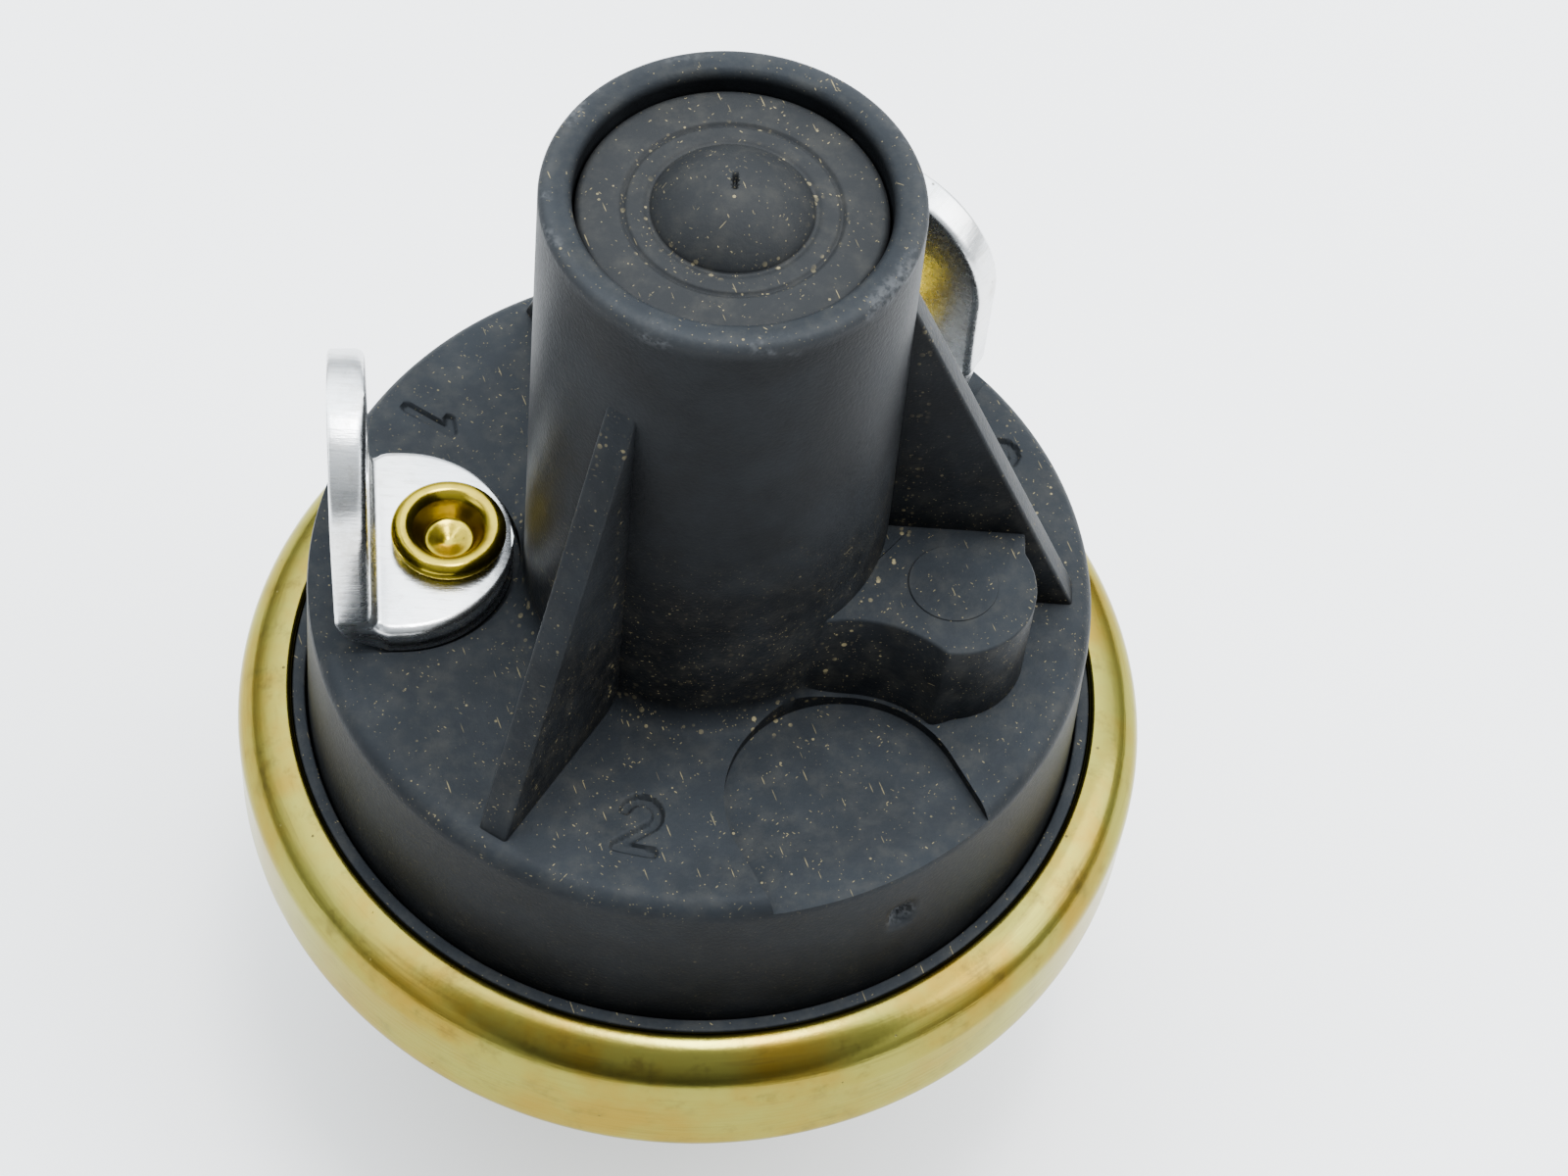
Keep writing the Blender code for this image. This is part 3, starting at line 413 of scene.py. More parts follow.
class Board:
    """The node tree of one material, or of the room's light."""

    def __init__(self, owner: bpy.types.Material | bpy.types.World, place: str = "Object") -> None:
        """Starts nodes on a material or a world.

        Args:
            owner: The material or world.
            place: Kind of coordinates that its patterns read.
        """
        owner.use_nodes = True
        self.owner = owner
        self.tree = owner.node_tree
        self.coordinates = self.node("ShaderNodeTexCoord", {}, {}, place)

    def node(self, kind: str, settings: dict, inputs: dict, output: str | int = 0) -> Wire:
        """Adds one node.

        Args:
            kind: The node's type.
            settings: Attributes to set first, by name.
            inputs: Values or wires by socket name or number.
            output: Name or number of the output to return.

        Returns:
            The chosen output.
        """
        made = self.tree.nodes.new(kind)
        for key, value in settings.items():
            setattr(made, key, value)
        for key, value in inputs.items():
            self._feed(made.inputs[key], value)
        return Wire(self, made.outputs[output])

    def _feed(self, socket: bpy.types.NodeSocket, value: Any) -> None:
        """Links a wire to a socket, or sets the socket's own value.

        Args:
            socket: The socket to feed.
            value: A wire, a number, a vector, or a colour of three numbers.
        """
        if isinstance(value, Wire):
            self.tree.links.new(value.socket, socket)
        elif isinstance(value, tuple) and len(value) == 3 and socket.type == "RGBA":
            socket.default_value = (*value, 1.0)
        else:
            socket.default_value = value

    def feed(self, shader: str, **inputs: Any) -> Any:
        """Feeds the sockets of a shader.

        Args:
            shader: Name of the shader's node.
            inputs: Values or wires by socket name, with underscores for spaces.

        Returns:
            The material or world.
        """
        for key, value in inputs.items():
            self._feed(self.tree.nodes[shader].inputs[key.replace("_", " ")], value)
        return self.owner

    def surface(self, **inputs: Any) -> bpy.types.Material:
        """Feeds the Principled shader and returns the material."""
        return self.feed("Principled BSDF", **inputs)

    def noise(
        self, scale: float, detail: float = 3.0, roughness: float = 0.55, vector: Wire | None = None
    ) -> Wire:
        """Noise of about 0 to 1.

        Args:
            scale: Features a metre.
            detail: Number of finer layers.
            roughness: Strength of the finer layers.
            vector: Coordinates, or None for the board's own.

        Returns:
            The noise.
        """
        inputs = {
            "Vector": vector or self.coordinates,
            "Scale": scale,
            "Detail": detail,
            "Roughness": roughness,
        }
        return self.node("ShaderNodeTexNoise", {}, inputs)

    def stretched(self, scale: Triple, turn: Triple = (0, 0, 0)) -> Wire:
        """The board's coordinates, turned and then scaled.

        Args:
            scale: Scale along each axis.
            turn: Turn about each axis in degrees.

        Returns:
            The new coordinates.
        """
        turned_by = self.node(
            "ShaderNodeMapping",
            {"vector_type": "POINT"},
            {"Vector": self.coordinates, "Rotation": tuple(math.radians(a) for a in turn)},
        )
        scaled = {"Vector": turned_by, "Scale": scale}
        return self.node("ShaderNodeMapping", {"vector_type": "POINT"}, scaled)

    def axis(self, name: str) -> Wire:
        """One Object coordinate, X, Y or Z."""
        return self.node("ShaderNodeSeparateXYZ", {}, {"Vector": self.coordinates}, name)

    def radius(self) -> Wire:
        """Distance from the switch's axis, which is the length of (x, y, 0).

        Returns:
            The distance in metres.
        """
        flatten = {0: self.coordinates, 1: (1, 1, 0)}
        flat = self.node("ShaderNodeVectorMath", {"operation": "MULTIPLY"}, flatten)
        return self.node("ShaderNodeVectorMath", {"operation": "LENGTH"}, {0: flat}, "Value")

    def facing_up(self) -> Wire:
        """How much a surface faces up, from 0 to 1."""
        normal = self.node("ShaderNodeNewGeometry", {}, {}, "Normal")
        return self.node("ShaderNodeSeparateXYZ", {}, {"Vector": normal}, "Z").clamp()

    def specks(self, scale: float, share: float, size: float, vector: Wire | None = None) -> Wire:
        """Scattered specks of uneven size, one at most in each cell of a Voronoi pattern.

        Args:
            scale: Cells a metre.
            share: Share of cells that hold a speck.
            size: Largest radius in cells.
            vector: Coordinates, or None for Object coordinates.

        Returns:
            A mask from 0 to 1.
        """
        inputs = {"Vector": vector or self.coordinates, "Scale": scale}
        distance = self.node("ShaderNodeTexVoronoi", {"feature": "F1"}, inputs, "Distance")
        colour = self.node("ShaderNodeTexVoronoi", {"feature": "F1"}, inputs, "Color")
        chance = self.node("ShaderNodeSeparateColor", {}, {"Color": colour}, "Red")
        reach = ((chance - (1 - share)) * (size / share)).maximum(0.0)
        return ((reach - distance) * (6 / size)).clamp()

    def mix(self, mask: Wire | float, first: Wire | Triple, second: Wire | Triple) -> Wire:
        """Mixes two colours, first where the mask is 0."""
        settings = {"data_type": "RGBA"}
        return self.node("ShaderNodeMix", settings, {0: mask, 6: first, 7: second}, 2)

    def bump(self, height: Wire, depth: float) -> Wire:
        """A normal from a height, whose full range stands for a depth in metres."""
        return self.node("ShaderNodeBump", {}, {"Strength": 1.0, "Distance": depth, "Height": height})


# Pale grey of rubbed wear, of the torn gate mark and of the painted sheen on the rim.
RUBBED_AND_SHEEN_GREY = (0.055, 0.058, 0.062)
PALE_POWDER = (0.30, 0.27, 0.20)
STRAW_CRUMBS = (0.30, 0.25, 0.13)
PIT_BROWN = (0.06, 0.05, 0.03)
FIBRE_LAYS: tuple[tuple[Triple, Triple], ...] = (
    ((430.0, 5600.0, 5600.0), (20.0, 8.0, 38.0)),
    ((5600.0, 400.0, 5600.0), (-12.0, 25.0, -24.0)),
    ((500.0, 5600.0, 5600.0), (-15.0, 12.0, -50.0)),
)


class Dust(Enum):
    """How much pale dust has settled on a dark surface."""

    LIGHT = 0.5
    HEAVY = 1.0


@dataclass(frozen=True)
class DarkMoulding:
    """Satin black plastic or rubber: grain, dust, worn rim with painted sheen, painted top light and shade.
    """

    name: str
    colour: Triple
    # Colour of the painted top light, mixed in mostly where a face looks up.
    painted_top_light_and_cloud: Triple
    roughness: float
    grain: float
    dust: Dust
    gloss: float = 0.034
    # Colour of the painted shade at the foot of the drum's wall.
    painted_foot_shade: Triple = (0.0024, 0.0025, 0.0027)
    rim_height: float | None = None
    dust_rings: tuple[Pair, ...] = ()
    gate: Triple = (0.0, 0.0, 0.0)
    rim_drop: Pair = (0.0010, 0.0002)
    rim_reach: Pair = (0.0069, 0.0076)
    gate_reach: Pair = (0.0009, 0.0005)

    def material(self) -> bpy.types.Material:
        """Builds the material.

        A painted top light lightens the colour mostly where a face looks up and partly in a random cloud,
        and dust lies where a face looks up. Painted shade darkens the foot of the drum's wall. Crumbs and
        fibres are scattered cells. The rubbed band, patchy wear over an even painted sheen, is on the outer
        edge at rim_height, in metres.

        Returns:
            The new material.
        """
        board = Board(bpy.data.materials.new(self.name))
        cloud = board.noise(260.0, 4.0)
        fine = board.noise(5200.0, 2.0, 0.6)
        stains = board.noise(900.0, 5.0, 0.65)
        # Painted top light: paler where a face looks up, plus a random cloud of tone.
        painted_top_light_and_cloud = board.facing_up() * 0.75 + cloud.band(0.35, 0.7) * 0.25
        base = board.mix(painted_top_light_and_cloud, self.colour, self.painted_top_light_and_cloud)
        base = board.mix(self._rubbed_and_sheen(board), base, RUBBED_AND_SHEEN_GREY)
        height = board.axis("Z")
        # Painted shade: the drum's wall darkens towards its foot, except where a face looks up.
        foot = height.band((DRUM_TOP - 1.5) * MM, SHELL_TOP * MM) * (1.0 - board.facing_up())
        base = board.mix(foot * 0.6, base, self.painted_foot_shade)
        on_roof = height.band((DRUM_TOP - 1.0) * MM, DRUM_TOP * MM) * 0.8 + 0.2
        low = height.band(DUST_HIGH * MM, DUST_LOW * MM) * on_roof
        caught = self._caught(board)
        level = (board.facing_up() * 0.85).maximum(low * 0.75) + caught * 0.3
        settled = level * stains.band(0.40, 0.80) * self.dust.value
        powder = board.mix(settled * 0.05, base, PALE_POWDER)
        grit = board.specks(1500.0, 0.55, 0.12)
        crumbs = board.specks(6000.0, 0.46, 0.21).maximum(grit)
        heaps = board.specks(3000.0, 0.90, 0.42) * caught
        patchy = stains.band(0.30, 0.62) * 0.80 + 0.20
        fibres, hairs, lint = (
            board.specks(1.0, 0.55, 0.17, board.stretched(scale, turn)) for scale, turn in FIBRE_LAYS
        )
        strands = fibres.maximum(hairs).maximum(lint).maximum(heaps)
        shown = (crumbs.maximum(strands) * level * patchy * self.dust.value).clamp()
        colour = board.mix(shown * 0.64, powder, STRAW_CRUMBS)
        roughness = cloud * 0.16 + fine * 0.10 + (self.roughness - 0.13) + shown * 0.25
        relief = fine * 0.7 + board.noise(1500.0, 3.0) * 0.3 + shown * 0.5
        normal = board.bump(relief, self.grain)
        return board.surface(
            Base_Color=colour, Roughness=roughness, Normal=normal, Specular_IOR_Level=self.gloss
        )

    def _caught(self, board: Board) -> Wire | float:
        """Mask of the rings where dust is caught at a foot or in a groove.

        Args:
            board: The material's board.

        Returns:
            A mask from 0 to 1, or zero where there are no rings.
        """
        mask: Wire | float = 0.0
        reach = board.radius()
        for radius, half in self.dust_rings:
            mask = reach.band(radius - half, radius) * reach.band(radius + half, radius) + mask
        return mask * board.noise(700.0, 3.0).band(0.38, 0.60) if self.dust_rings else mask

    def _rubbed_and_sheen(self, board: Board) -> Wire | float:
        """Mask of whitened wear over an even painted sheen on the rim, and of the torn gate mark.

        Args:
            board: The material's board.

        Returns:
            A mask from 0 to 1, or zero where there is no rim.
        """
        if self.rim_height is None:
            return 0.0
        near_top = board.axis("Z").band(*(self.rim_height - drop for drop in self.rim_drop))
        outer = board.radius().band(*self.rim_reach)
        patchy = board.noise(420.0, 4.0, 0.7).band(0.50, 0.66) * board.noise(4200.0, 2.0).band(0.36, 0.6)
        ends = {0: board.coordinates, 1: self.gate}
        away = board.node("ShaderNodeVectorMath", {"operation": "DISTANCE"}, ends, "Value")
        torn = away.band(*self.gate_reach) * board.noise(5200.0, 2.0).band(0.44, 0.58)
        # Patchy wear over an even painted sheen: the 0.22 share lightens the whole rim band.
        return (near_top * outer * (patchy * 0.78 + 0.22)).maximum(torn * 0.75)


@dataclass(frozen=True)
class PlatedSteel:
    """Bright or yellow-passivated plating with cloudy tint, fine scratches and small dark pits."""

    name: str
    colour: Triple
    tint: Triple
    stain: Triple
    roughness: float
    scratch_scale: Triple
    scratch_turn: Triple = (0.0, 0.0, 0.0)
    pits: float = 0.2
    relief: float = 0.000012
    grazing: Triple = (1.0, 1.0, 1.0)

    def material(self) -> bpy.types.Material:
        """Builds the material, with scratches along the axis that has the smallest scale.

        Returns:
            The new material.
        """
        board = Board(bpy.data.materials.new(self.name))
        cloud = board.noise(190.0, 4.0, 0.6)
        blotch = board.noise(620.0, 5.0, 0.7)
        scratched = board.noise(1.0, 3.0, 0.6, board.stretched(self.scratch_scale, self.scratch_turn))
        base = board.mix(cloud.band(0.35, 0.68), self.colour, self.tint)
        base = board.mix(blotch.band(0.50, 0.74) * 0.55, base, self.stain)
        base = board.mix(scratched.band(0.54, 0.72) * 0.30, base, self.stain)
        dark = board.specks(1300.0, self.pits, 0.10)
        base = board.mix(dark * 0.7, base, PIT_BROWN)
        roughness = (cloud * 0.10 + scratched * 0.14 + dark * 0.3 + (self.roughness - 0.12)).clamp()
        height = scratched * 0.7 + board.noise(2600.0, 2.0) * 0.3 - dark * 0.8
        normal = board.bump(height, self.relief)
        return board.surface(
            Base_Color=base, Metallic=1.0, Roughness=roughness, Normal=normal, Specular_Tint=self.grazing
        )


@dataclass(frozen=True)
class PlainMoulding:
    """Natural plastic or flexible sheet of an inner part, with a faint cloud and grain."""

    name: str
    colour: Triple
    shade: Triple
    roughness: float

    def material(self) -> bpy.types.Material:
        """Builds the material from a cloud of two shades over a fine grain.

        Returns:
            The new material.
        """
        board = Board(bpy.data.materials.new(self.name))
        cloud = board.noise(420.0, 4.0)
        fine = board.noise(3600.0, 2.0)
        base = board.mix(cloud.band(0.3, 0.7), self.colour, self.shade)
        normal = board.bump(fine, 0.00001)
        roughness = cloud * 0.12 + (self.roughness - 0.06)
        return board.surface(Base_Color=base, Roughness=roughness, Normal=normal)


BLACK_COVER = DarkMoulding(
    "cover_black_moulding",
    colour=(0.0052, 0.0056, 0.0062),
    # Colour of the painted top light.
    painted_top_light_and_cloud=(0.0184, 0.0212, 0.0246),
    roughness=0.44,
    grain=0.000030,
    dust=Dust.HEAVY,
    rim_height=TOWER_TOP * MM,
    dust_rings=((0.0086, 0.0007),),
    gate=(
        GATE_RADIUS * math.cos(math.radians(GATE_AZIMUTH)) * MM,
        GATE_RADIUS * math.sin(math.radians(GATE_AZIMUTH)) * MM,
        (DRUM_TOP + GATE_HEIGHT) * MM,
    ),
)
DARK_RUBBER = DarkMoulding(
    "plug_dark_rubber",
    colour=(0.0080, 0.0086, 0.0094),
    # Colour of the painted top light.
    painted_top_light_and_cloud=(0.0150, 0.0162, 0.0175),
    roughness=0.55,
    grain=0.000016,
    dust=Dust.HEAVY,
    gloss=0.08,
    dust_rings=((0.0034, 0.0004), (0.0044, 0.0003)),
)
SEAL_RUBBER = DarkMoulding(
    "seal_rubber",
    colour=(0.010, 0.010, 0.011),
    # Colour of the painted top light.
    painted_top_light_and_cloud=(0.016, 0.016, 0.017),
    roughness=0.5,
    grain=0.00001,
    dust=Dust.LIGHT,
)
GOLD_STEEL = PlatedSteel(
    "gold_passivated_steel",
    colour=(0.184, 0.169, 0.032),
    tint=(0.188, 0.122, 0.014),
    stain=(0.066, 0.046, 0.014),
    roughness=0.19,
    scratch_scale=(160.0, 160.0, 5200.0),
    pits=0.30,
    grazing=(0.84, 0.82, 0.58),
)
BRIGHT_STEEL = PlatedSteel(
    "bright_plated_steel",
    colour=(0.78, 0.78, 0.765),
    tint=(0.64, 0.66, 0.68),
    stain=(0.36, 0.33, 0.28),
    roughness=0.27,
    scratch_scale=(500.0, 3800.0, 3800.0),
    pits=0.12,
    relief=0.000019,
)
TURNED_BRIGHT_STEEL = replace(
    BRIGHT_STEEL, name="bright_plated_steel_open", scratch_turn=(0.0, 0.0, -OPEN_AZIMUTH)
)
RIVET_BRASS = PlatedSteel(
    "rivet_brass",
    colour=(0.38, 0.29, 0.020),
    tint=(0.33, 0.25, 0.022),
    stain=(0.17, 0.11, 0.02),
    roughness=0.20,
    scratch_scale=(900.0, 900.0, 4200.0),
    pits=0.14,
    grazing=(0.85, 0.78, 0.55),
)
SCREW_BRASS = PlatedSteel(
    "screw_brass",
    colour=(0.62, 0.46, 0.16),
    tint=(0.55, 0.43, 0.17),
    stain=(0.32, 0.22, 0.08),
    roughness=0.28,
    scratch_scale=(300.0, 300.0, 4200.0),
)
SILVERED_COPPER = PlatedSteel(
    "silvered_copper",
    colour=(0.82, 0.79, 0.74),
    tint=(0.76, 0.72, 0.66),
    stain=(0.45, 0.36, 0.26),
    roughness=0.24,
    scratch_scale=(2600.0, 300.0, 2600.0),
)
SPRING_WIRE = PlatedSteel(
    "spring_wire",
    colour=(0.40, 0.40, 0.42),
    tint=(0.33, 0.33, 0.35),
    stain=(0.22, 0.19, 0.16),
    roughness=0.32,
    scratch_scale=(600.0, 600.0, 3600.0),
)
INNER_STEEL = PlatedSteel(
    "inner_plated_steel",
    colour=(0.70, 0.70, 0.68),
    tint=(0.62, 0.62, 0.60),
    stain=(0.48, 0.42, 0.30),
    roughness=0.30,
    scratch_scale=(220.0, 220.0, 3600.0),
)
NATURAL_NYLON = PlainMoulding(
    "natural_nylon", colour=(0.70, 0.66, 0.56), shade=(0.62, 0.58, 0.47), roughness=0.42
)
BROWN_SHEET = PlainMoulding(
    "diaphragm_sheet", colour=(0.060, 0.042, 0.030), shade=(0.040, 0.028, 0.022), roughness=0.52
)


@dataclass(frozen=True)
class Stroke:
    """One straight stroke of an engraved number, in its own upright frame."""

    start: Pair
    end: Pair

    def distance(self, across: np.ndarray, up: np.ndarray) -> np.ndarray:
        """Distance from points to the stroke's middle line.

        Args:
            across: Places of the points across the number.
            up: Places of the points up the number.

        Returns:
            The distances.
        """
        run = np.subtract(self.end, self.start)
        share = ((across - self.start[0]) * run[0] + (up - self.start[1]) * run[1]) / (run @ run)
        share = np.clip(share, 0.0, 1.0)
        return np.hypot(across - self.start[0] - share * run[0], up - self.start[1] - share * run[1])


def bow(centre: Pair, radius: float, start: float, end: float, count: int) -> list[Stroke]:
    """A curved part of a number as short straight strokes.

    Args:
        centre: Centre of the curve, across and up the number.
        radius: Radius of the curve.
        start: First angle in degrees.
        end: Last angle in degrees.
        count: Number of strokes.

    Returns:
        The strokes.
    """
    angle = np.radians(np.linspace(start, end, count + 1))
    places = [(centre[0] + radius * math.cos(a), centre[1] + radius * math.sin(a)) for a in angle]
    return [Stroke(first, second) for first, second in zip(places, places[1:])]


class Numeral(Enum):
    """Plain terminal numbers engraved beside the terminal places."""

    ONE = (Stroke((-0.45, 0.75), (0.1, 1.25)), Stroke((0.1, 1.25), (0.1, -1.25)))
    TWO = (
        *bow((0.0, 0.5), 0.75, 170.0, -35.0, 8),
        Stroke((0.61, 0.07), (-0.75, -1.25)),
        Stroke((-0.75, -1.25), (0.85, -1.25)),
    )
    THREE = (*bow((0.0, 0.6), 0.65, 160.0, -90.0, 7), *bow((0.0, -0.6), 0.65, 90.0, -160.0, 7))


@dataclass(frozen=True)
class Mark:
    """An engraved number whose top points at the axis."""

    numeral: Numeral
    azimuth: float
    place: float

    def depth(self, x: np.ndarray, y: np.ndarray) -> np.ndarray:
        """Share of the engraving's depth at points on the drum's roof.

        Args:
            x: Places of the points along X.
            y: Places of the points along Y.

        Returns:
            Shares from 0 to 1.
        """
        outwards = direction(self.azimuth)
        up = self.place - (x * outwards[0] + y * outwards[1])
        across = y * outwards[0] - x * outwards[1]
        distance = np.min([stroke.distance(across, up) for stroke in self.numeral.value], axis=0)
        return 1.0 - smooth(distance, 0.14, 0.32)


@dataclass
class Cover:
    """Moulded cover: tower, drum with three pockets, flange, gussets, pad and the thread of the tower."""

    drum_radius: float = 17.87
    drum_foot: float = 18.15
    drum_edge: float = 0.9
    tower_top_radius: float = 7.79
    tower_foot_radius: float = 8.10
    tower_fillet: float = 1.1
    mouth_radius: float = 6.42
    mouth_depth: float = 3.4
    mouth_round: float = 0.45
    rim_round: float = 0.42
    roof_thickness: float = 2.0
    fine_roof: float = 11.6
    wall_thickness: float = 1.6
    bead_round: float = 0.10
    engraving: float = 0.24
    bore_radius: float = 5.6
    flange_radius: float = 20.5
    flange_round: float = 1.5
    pocket_half: float = 5.33
    pocket_place: float = 13.6
    pocket_depth: float = 0.55
    pocket_reach: float = 24.0
    rib_thickness: float = 1.4
    rib_foot: float = 16.9
    rib_height: float = 20.5
    rib_edge: float = 0.16
    rib_step: float = 0.35
    rib_azimuths: Triple = (0.0, 120.0, 240.0)
    pad_height: float = 5.3
    pad_radius: float = 3.7
    pad_place: float = 11.5
    pad_azimuth: float = -18.2
    pad_hollow: float = 5.95
    pad_lean: float = 0.48
    pad_root: float = 0.7
    pad_web_end: float = 112.0
    pad_flat_cosine: float = 0.86
    pad_edge: float = 0.14
    pad_step: float = 0.16
    land_radius: float = 2.0
    land_height: float = 0.06
    thread_pitch: float = 1.5
    thread_crest: float = 4.75
    thread_root: float = 5.33
    gate_azimuth: float = GATE_AZIMUTH
    gate_height: float = GATE_HEIGHT
    gate_half_width: float = 0.50
    gate_half_height: float = 0.70
    gate_depth: float = 0.52
    columns: int = 630
    marks: tuple[Mark, ...] = (
        Mark(Numeral.ONE, 149.9, 15.0),
        Mark(Numeral.TWO, 261.0, 13.8),
        Mark(Numeral.THREE, 29.0, 15.0),
    )

    def angles(self) -> np.ndarray:
        """Angles of the drum's columns, closer together where a number is engraved.

        A density of 1, raised by smooth bells round the numbers, is summed round the axis. The columns are
        evenly spaced along that sum.

        Returns:
            The angles in radians.
        """
        fine = [math.radians(mark.azimuth) for mark in self.marks]
        even = np.linspace(0.0, FULL_TURN, 4000)
        density = np.ones_like(even)
        for angle in fine:
            away = np.abs(half_turn(even - angle))
            density += 1.8 * (1 - smooth(away, math.radians(8.0), math.radians(11.0)))
        share = np.concatenate([[0.0], np.cumsum((density[1:] + density[:-1]) / 2)])
        return np.interp(np.linspace(0.0, share[-1], self.columns, endpoint=False), share, even)

    def outer_profile(self) -> np.ndarray:
        """Outer side of the cover from the tower's mouth down to the flange's underside.

        Returns:
            Rows of (r, z).
        """
        top, drum = TOWER_TOP, DRUM_TOP
        edge, fillet, flange = self.drum_edge, self.tower_fillet, self.flange_round
        flange_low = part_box("cover")[0].z / MM
        flange_top = SHELL_TOP - 1.0
        rim_in = self.mouth_radius
        rim_out = self.tower_top_radius
        return profile(
            (rim_in, top - self.mouth_depth),
            line((rim_in, top - self.mouth_depth + 0.4), (rim_in, top - 0.5), 3),
            arc(rim_in + self.mouth_round, top - self.mouth_round, self.mouth_round, 180, 90, 6),
            arc(rim_out - self.rim_round, top - self.rim_round, self.rim_round, 90, 2, 7),
            line((rim_out + 0.004, top - 1.0), (self.tower_foot_radius, drum + fillet), 14),
            arc(self.tower_foot_radius + fillet, drum + fillet, fillet, 180, 270, 9),
            line((self.tower_foot_radius + fillet, drum), (self.fine_roof, drum), 18),
            line((self.fine_roof, drum), (self.drum_radius - edge, drum), 52),
            arc(self.drum_radius - edge, drum - edge, edge, 90, 1, 9),
            line((self.drum_radius, drum - edge - 0.2), (self.drum_foot, flange_top + 0.35), 36),
            (self.drum_foot + 0.07, flange_top + 0.12),
            arc(self.drum_foot + 0.20, flange_top + 0.72, self.bead_round, 180, 90, 4),
            arc(self.drum_foot + 0.61, flange_top + 0.72, self.bead_round, 90, 0, 4),
            (self.drum_foot + 0.71, flange_top - 0.05),
            arc(self.flange_radius - flange, flange_top - flange, flange, 90, 0, 6),
            (self.flange_radius, flange_low),
        )

    def inner_profile(self) -> np.ndarray:
        """Inner side of the cover from the flange's underside up to the seat of the plug.

        Returns:
            Rows of (r, z).
        """
        flange_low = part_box("cover")[0].z / MM
        cavity = self.drum_foot - self.wall_thickness
        roof = DRUM_TOP - self.roof_thickness
        seat = TOWER_TOP - self.mouth_depth
        return profile(
            (cavity, flange_low),
            (cavity, roof),
            (self.bore_radius, roof),
            line((self.bore_radius, roof + 1.0), (self.bore_radius, seat), 3),
        )

    def pocket(self, azimuth: float, turn: float) -> bpy.types.Object:
        """Body to cut away for one terminal place: a U, round towards the axis and open towards the rim.

        Args:
            azimuth: Azimuth of the pocket in degrees.
            turn: Turn of the U about its rivet in degrees.

        Returns:
            An upright prism on the pocket's floor.
        """
        bend = np.radians(np.linspace(90.0, 270.0, 72))
        u = np.concatenate([self.pocket_place + self.pocket_half * np.cos(bend), [self.pocket_reach] * 2])
        v = np.concatenate([self.pocket_half * np.sin(bend), [-self.pocket_half, self.pocket_half]])
        floor = DRUM_TOP - self.pocket_depth
        levels = (floor, DRUM_TOP + 1.5)
        loops = [np.stack([u - RIVET_PLACE, v, np.full_like(u, z)], axis=1) for z in levels]
        placed = rotate(rotate(np.stack(loops), turn) + np.array([RIVET_PLACE, 0.0, 0.0]), azimuth)
        return skin(f"pocket_{azimuth:.0f}", placed)

    def body(self) -> bpy.types.Object:
        """Tower, drum and flange as one turned surface, with the three terminal pockets cut out.

        The profile is carried round the axis. Where a number lies the roof comes down by the engraving's
        depth. At the gate's mark the drum's wall is drawn in by a flat-topped bell with ripples,
        exp(-(a/w)^4 - (z/h)^4) times (1 - 0.45 cos 9a cos 8z).

        Returns:
            The new object.
        """
        outer = self.outer_profile()
        angles = self.angles()
        grid = turned(profile(outer, self.inner_profile()), angles)
        outside = (np.arange(len(grid)) < len(outer))[:, None]
        x, y, z = grid[..., 0], grid[..., 1], grid[..., 2]
        on_roof = outside & (np.abs(z - DRUM_TOP) < 0.02)
        for mark in self.marks:
            z = z - self.engraving * mark.depth(x, y) * on_roof
        radius = np.hypot(x, y)
        along = half_turn(np.arctan2(y, x) - np.radians(self.gate_azimuth)) * radius
        above = z - DRUM_TOP - self.gate_height
        bell = np.exp(-((along / self.gate_half_width) ** 4) - (above / self.gate_half_height) ** 4)
        pit = bell * (1 - 0.45 * np.cos(9 * along) * np.cos(8 * above))
        on_wall = outside & (radius > self.drum_radius - self.drum_edge)
        dent = 1 - self.gate_depth * pit / radius * on_wall
        piece = skin("cover_moulding", np.stack([x * dent, y * dent, z], axis=2), wrap_rows=True)
        places = ((COMMON_AZIMUTH, COMMON_TURN), (OPEN_AZIMUTH, 0.0), (SPARE_AZIMUTH, 0.0))
        cut_away(piece, [self.pocket(azimuth, turn) for azimuth, turn in places], crease=32.0)
        return piece

    def rib(self, azimuth: float) -> bpy.types.Object:
        """Triangular gusset with rounded edges, its foot and back sunk in the drum and the tower.

        Args:
            azimuth: Azimuth of the gusset in degrees.

        Returns:
            The new object.
        """
        inside = self.tower_top_radius - 1.0
        slope = (self.rib_foot - self.tower_top_radius) / self.rib_height
        corners = np.array(
            [
                [inside, DRUM_TOP - 0.8],
                [self.rib_foot + slope * 0.3, DRUM_TOP - 0.8],
                [self.rib_foot, DRUM_TOP],
                [self.tower_top_radius, DRUM_TOP + self.rib_height],
                [inside, DRUM_TOP + self.rib_height + 0.1],
            ]
        )
        half = self.rib_thickness / 2

        def place(loops: np.ndarray, heights: np.ndarray) -> np.ndarray:
            """Stands the outline up along the azimuth."""
            upright = np.stack([loops[..., 0], half - heights, loops[..., 1]], axis=-1)
            return rotate(upright, azimuth)

        outline = resampled(corners, self.rib_step)
        name = f"cover_rib_{azimuth:.0f}"
        return rounded_plate(name, outline, self.rib_thickness, self.rib_edge, place)

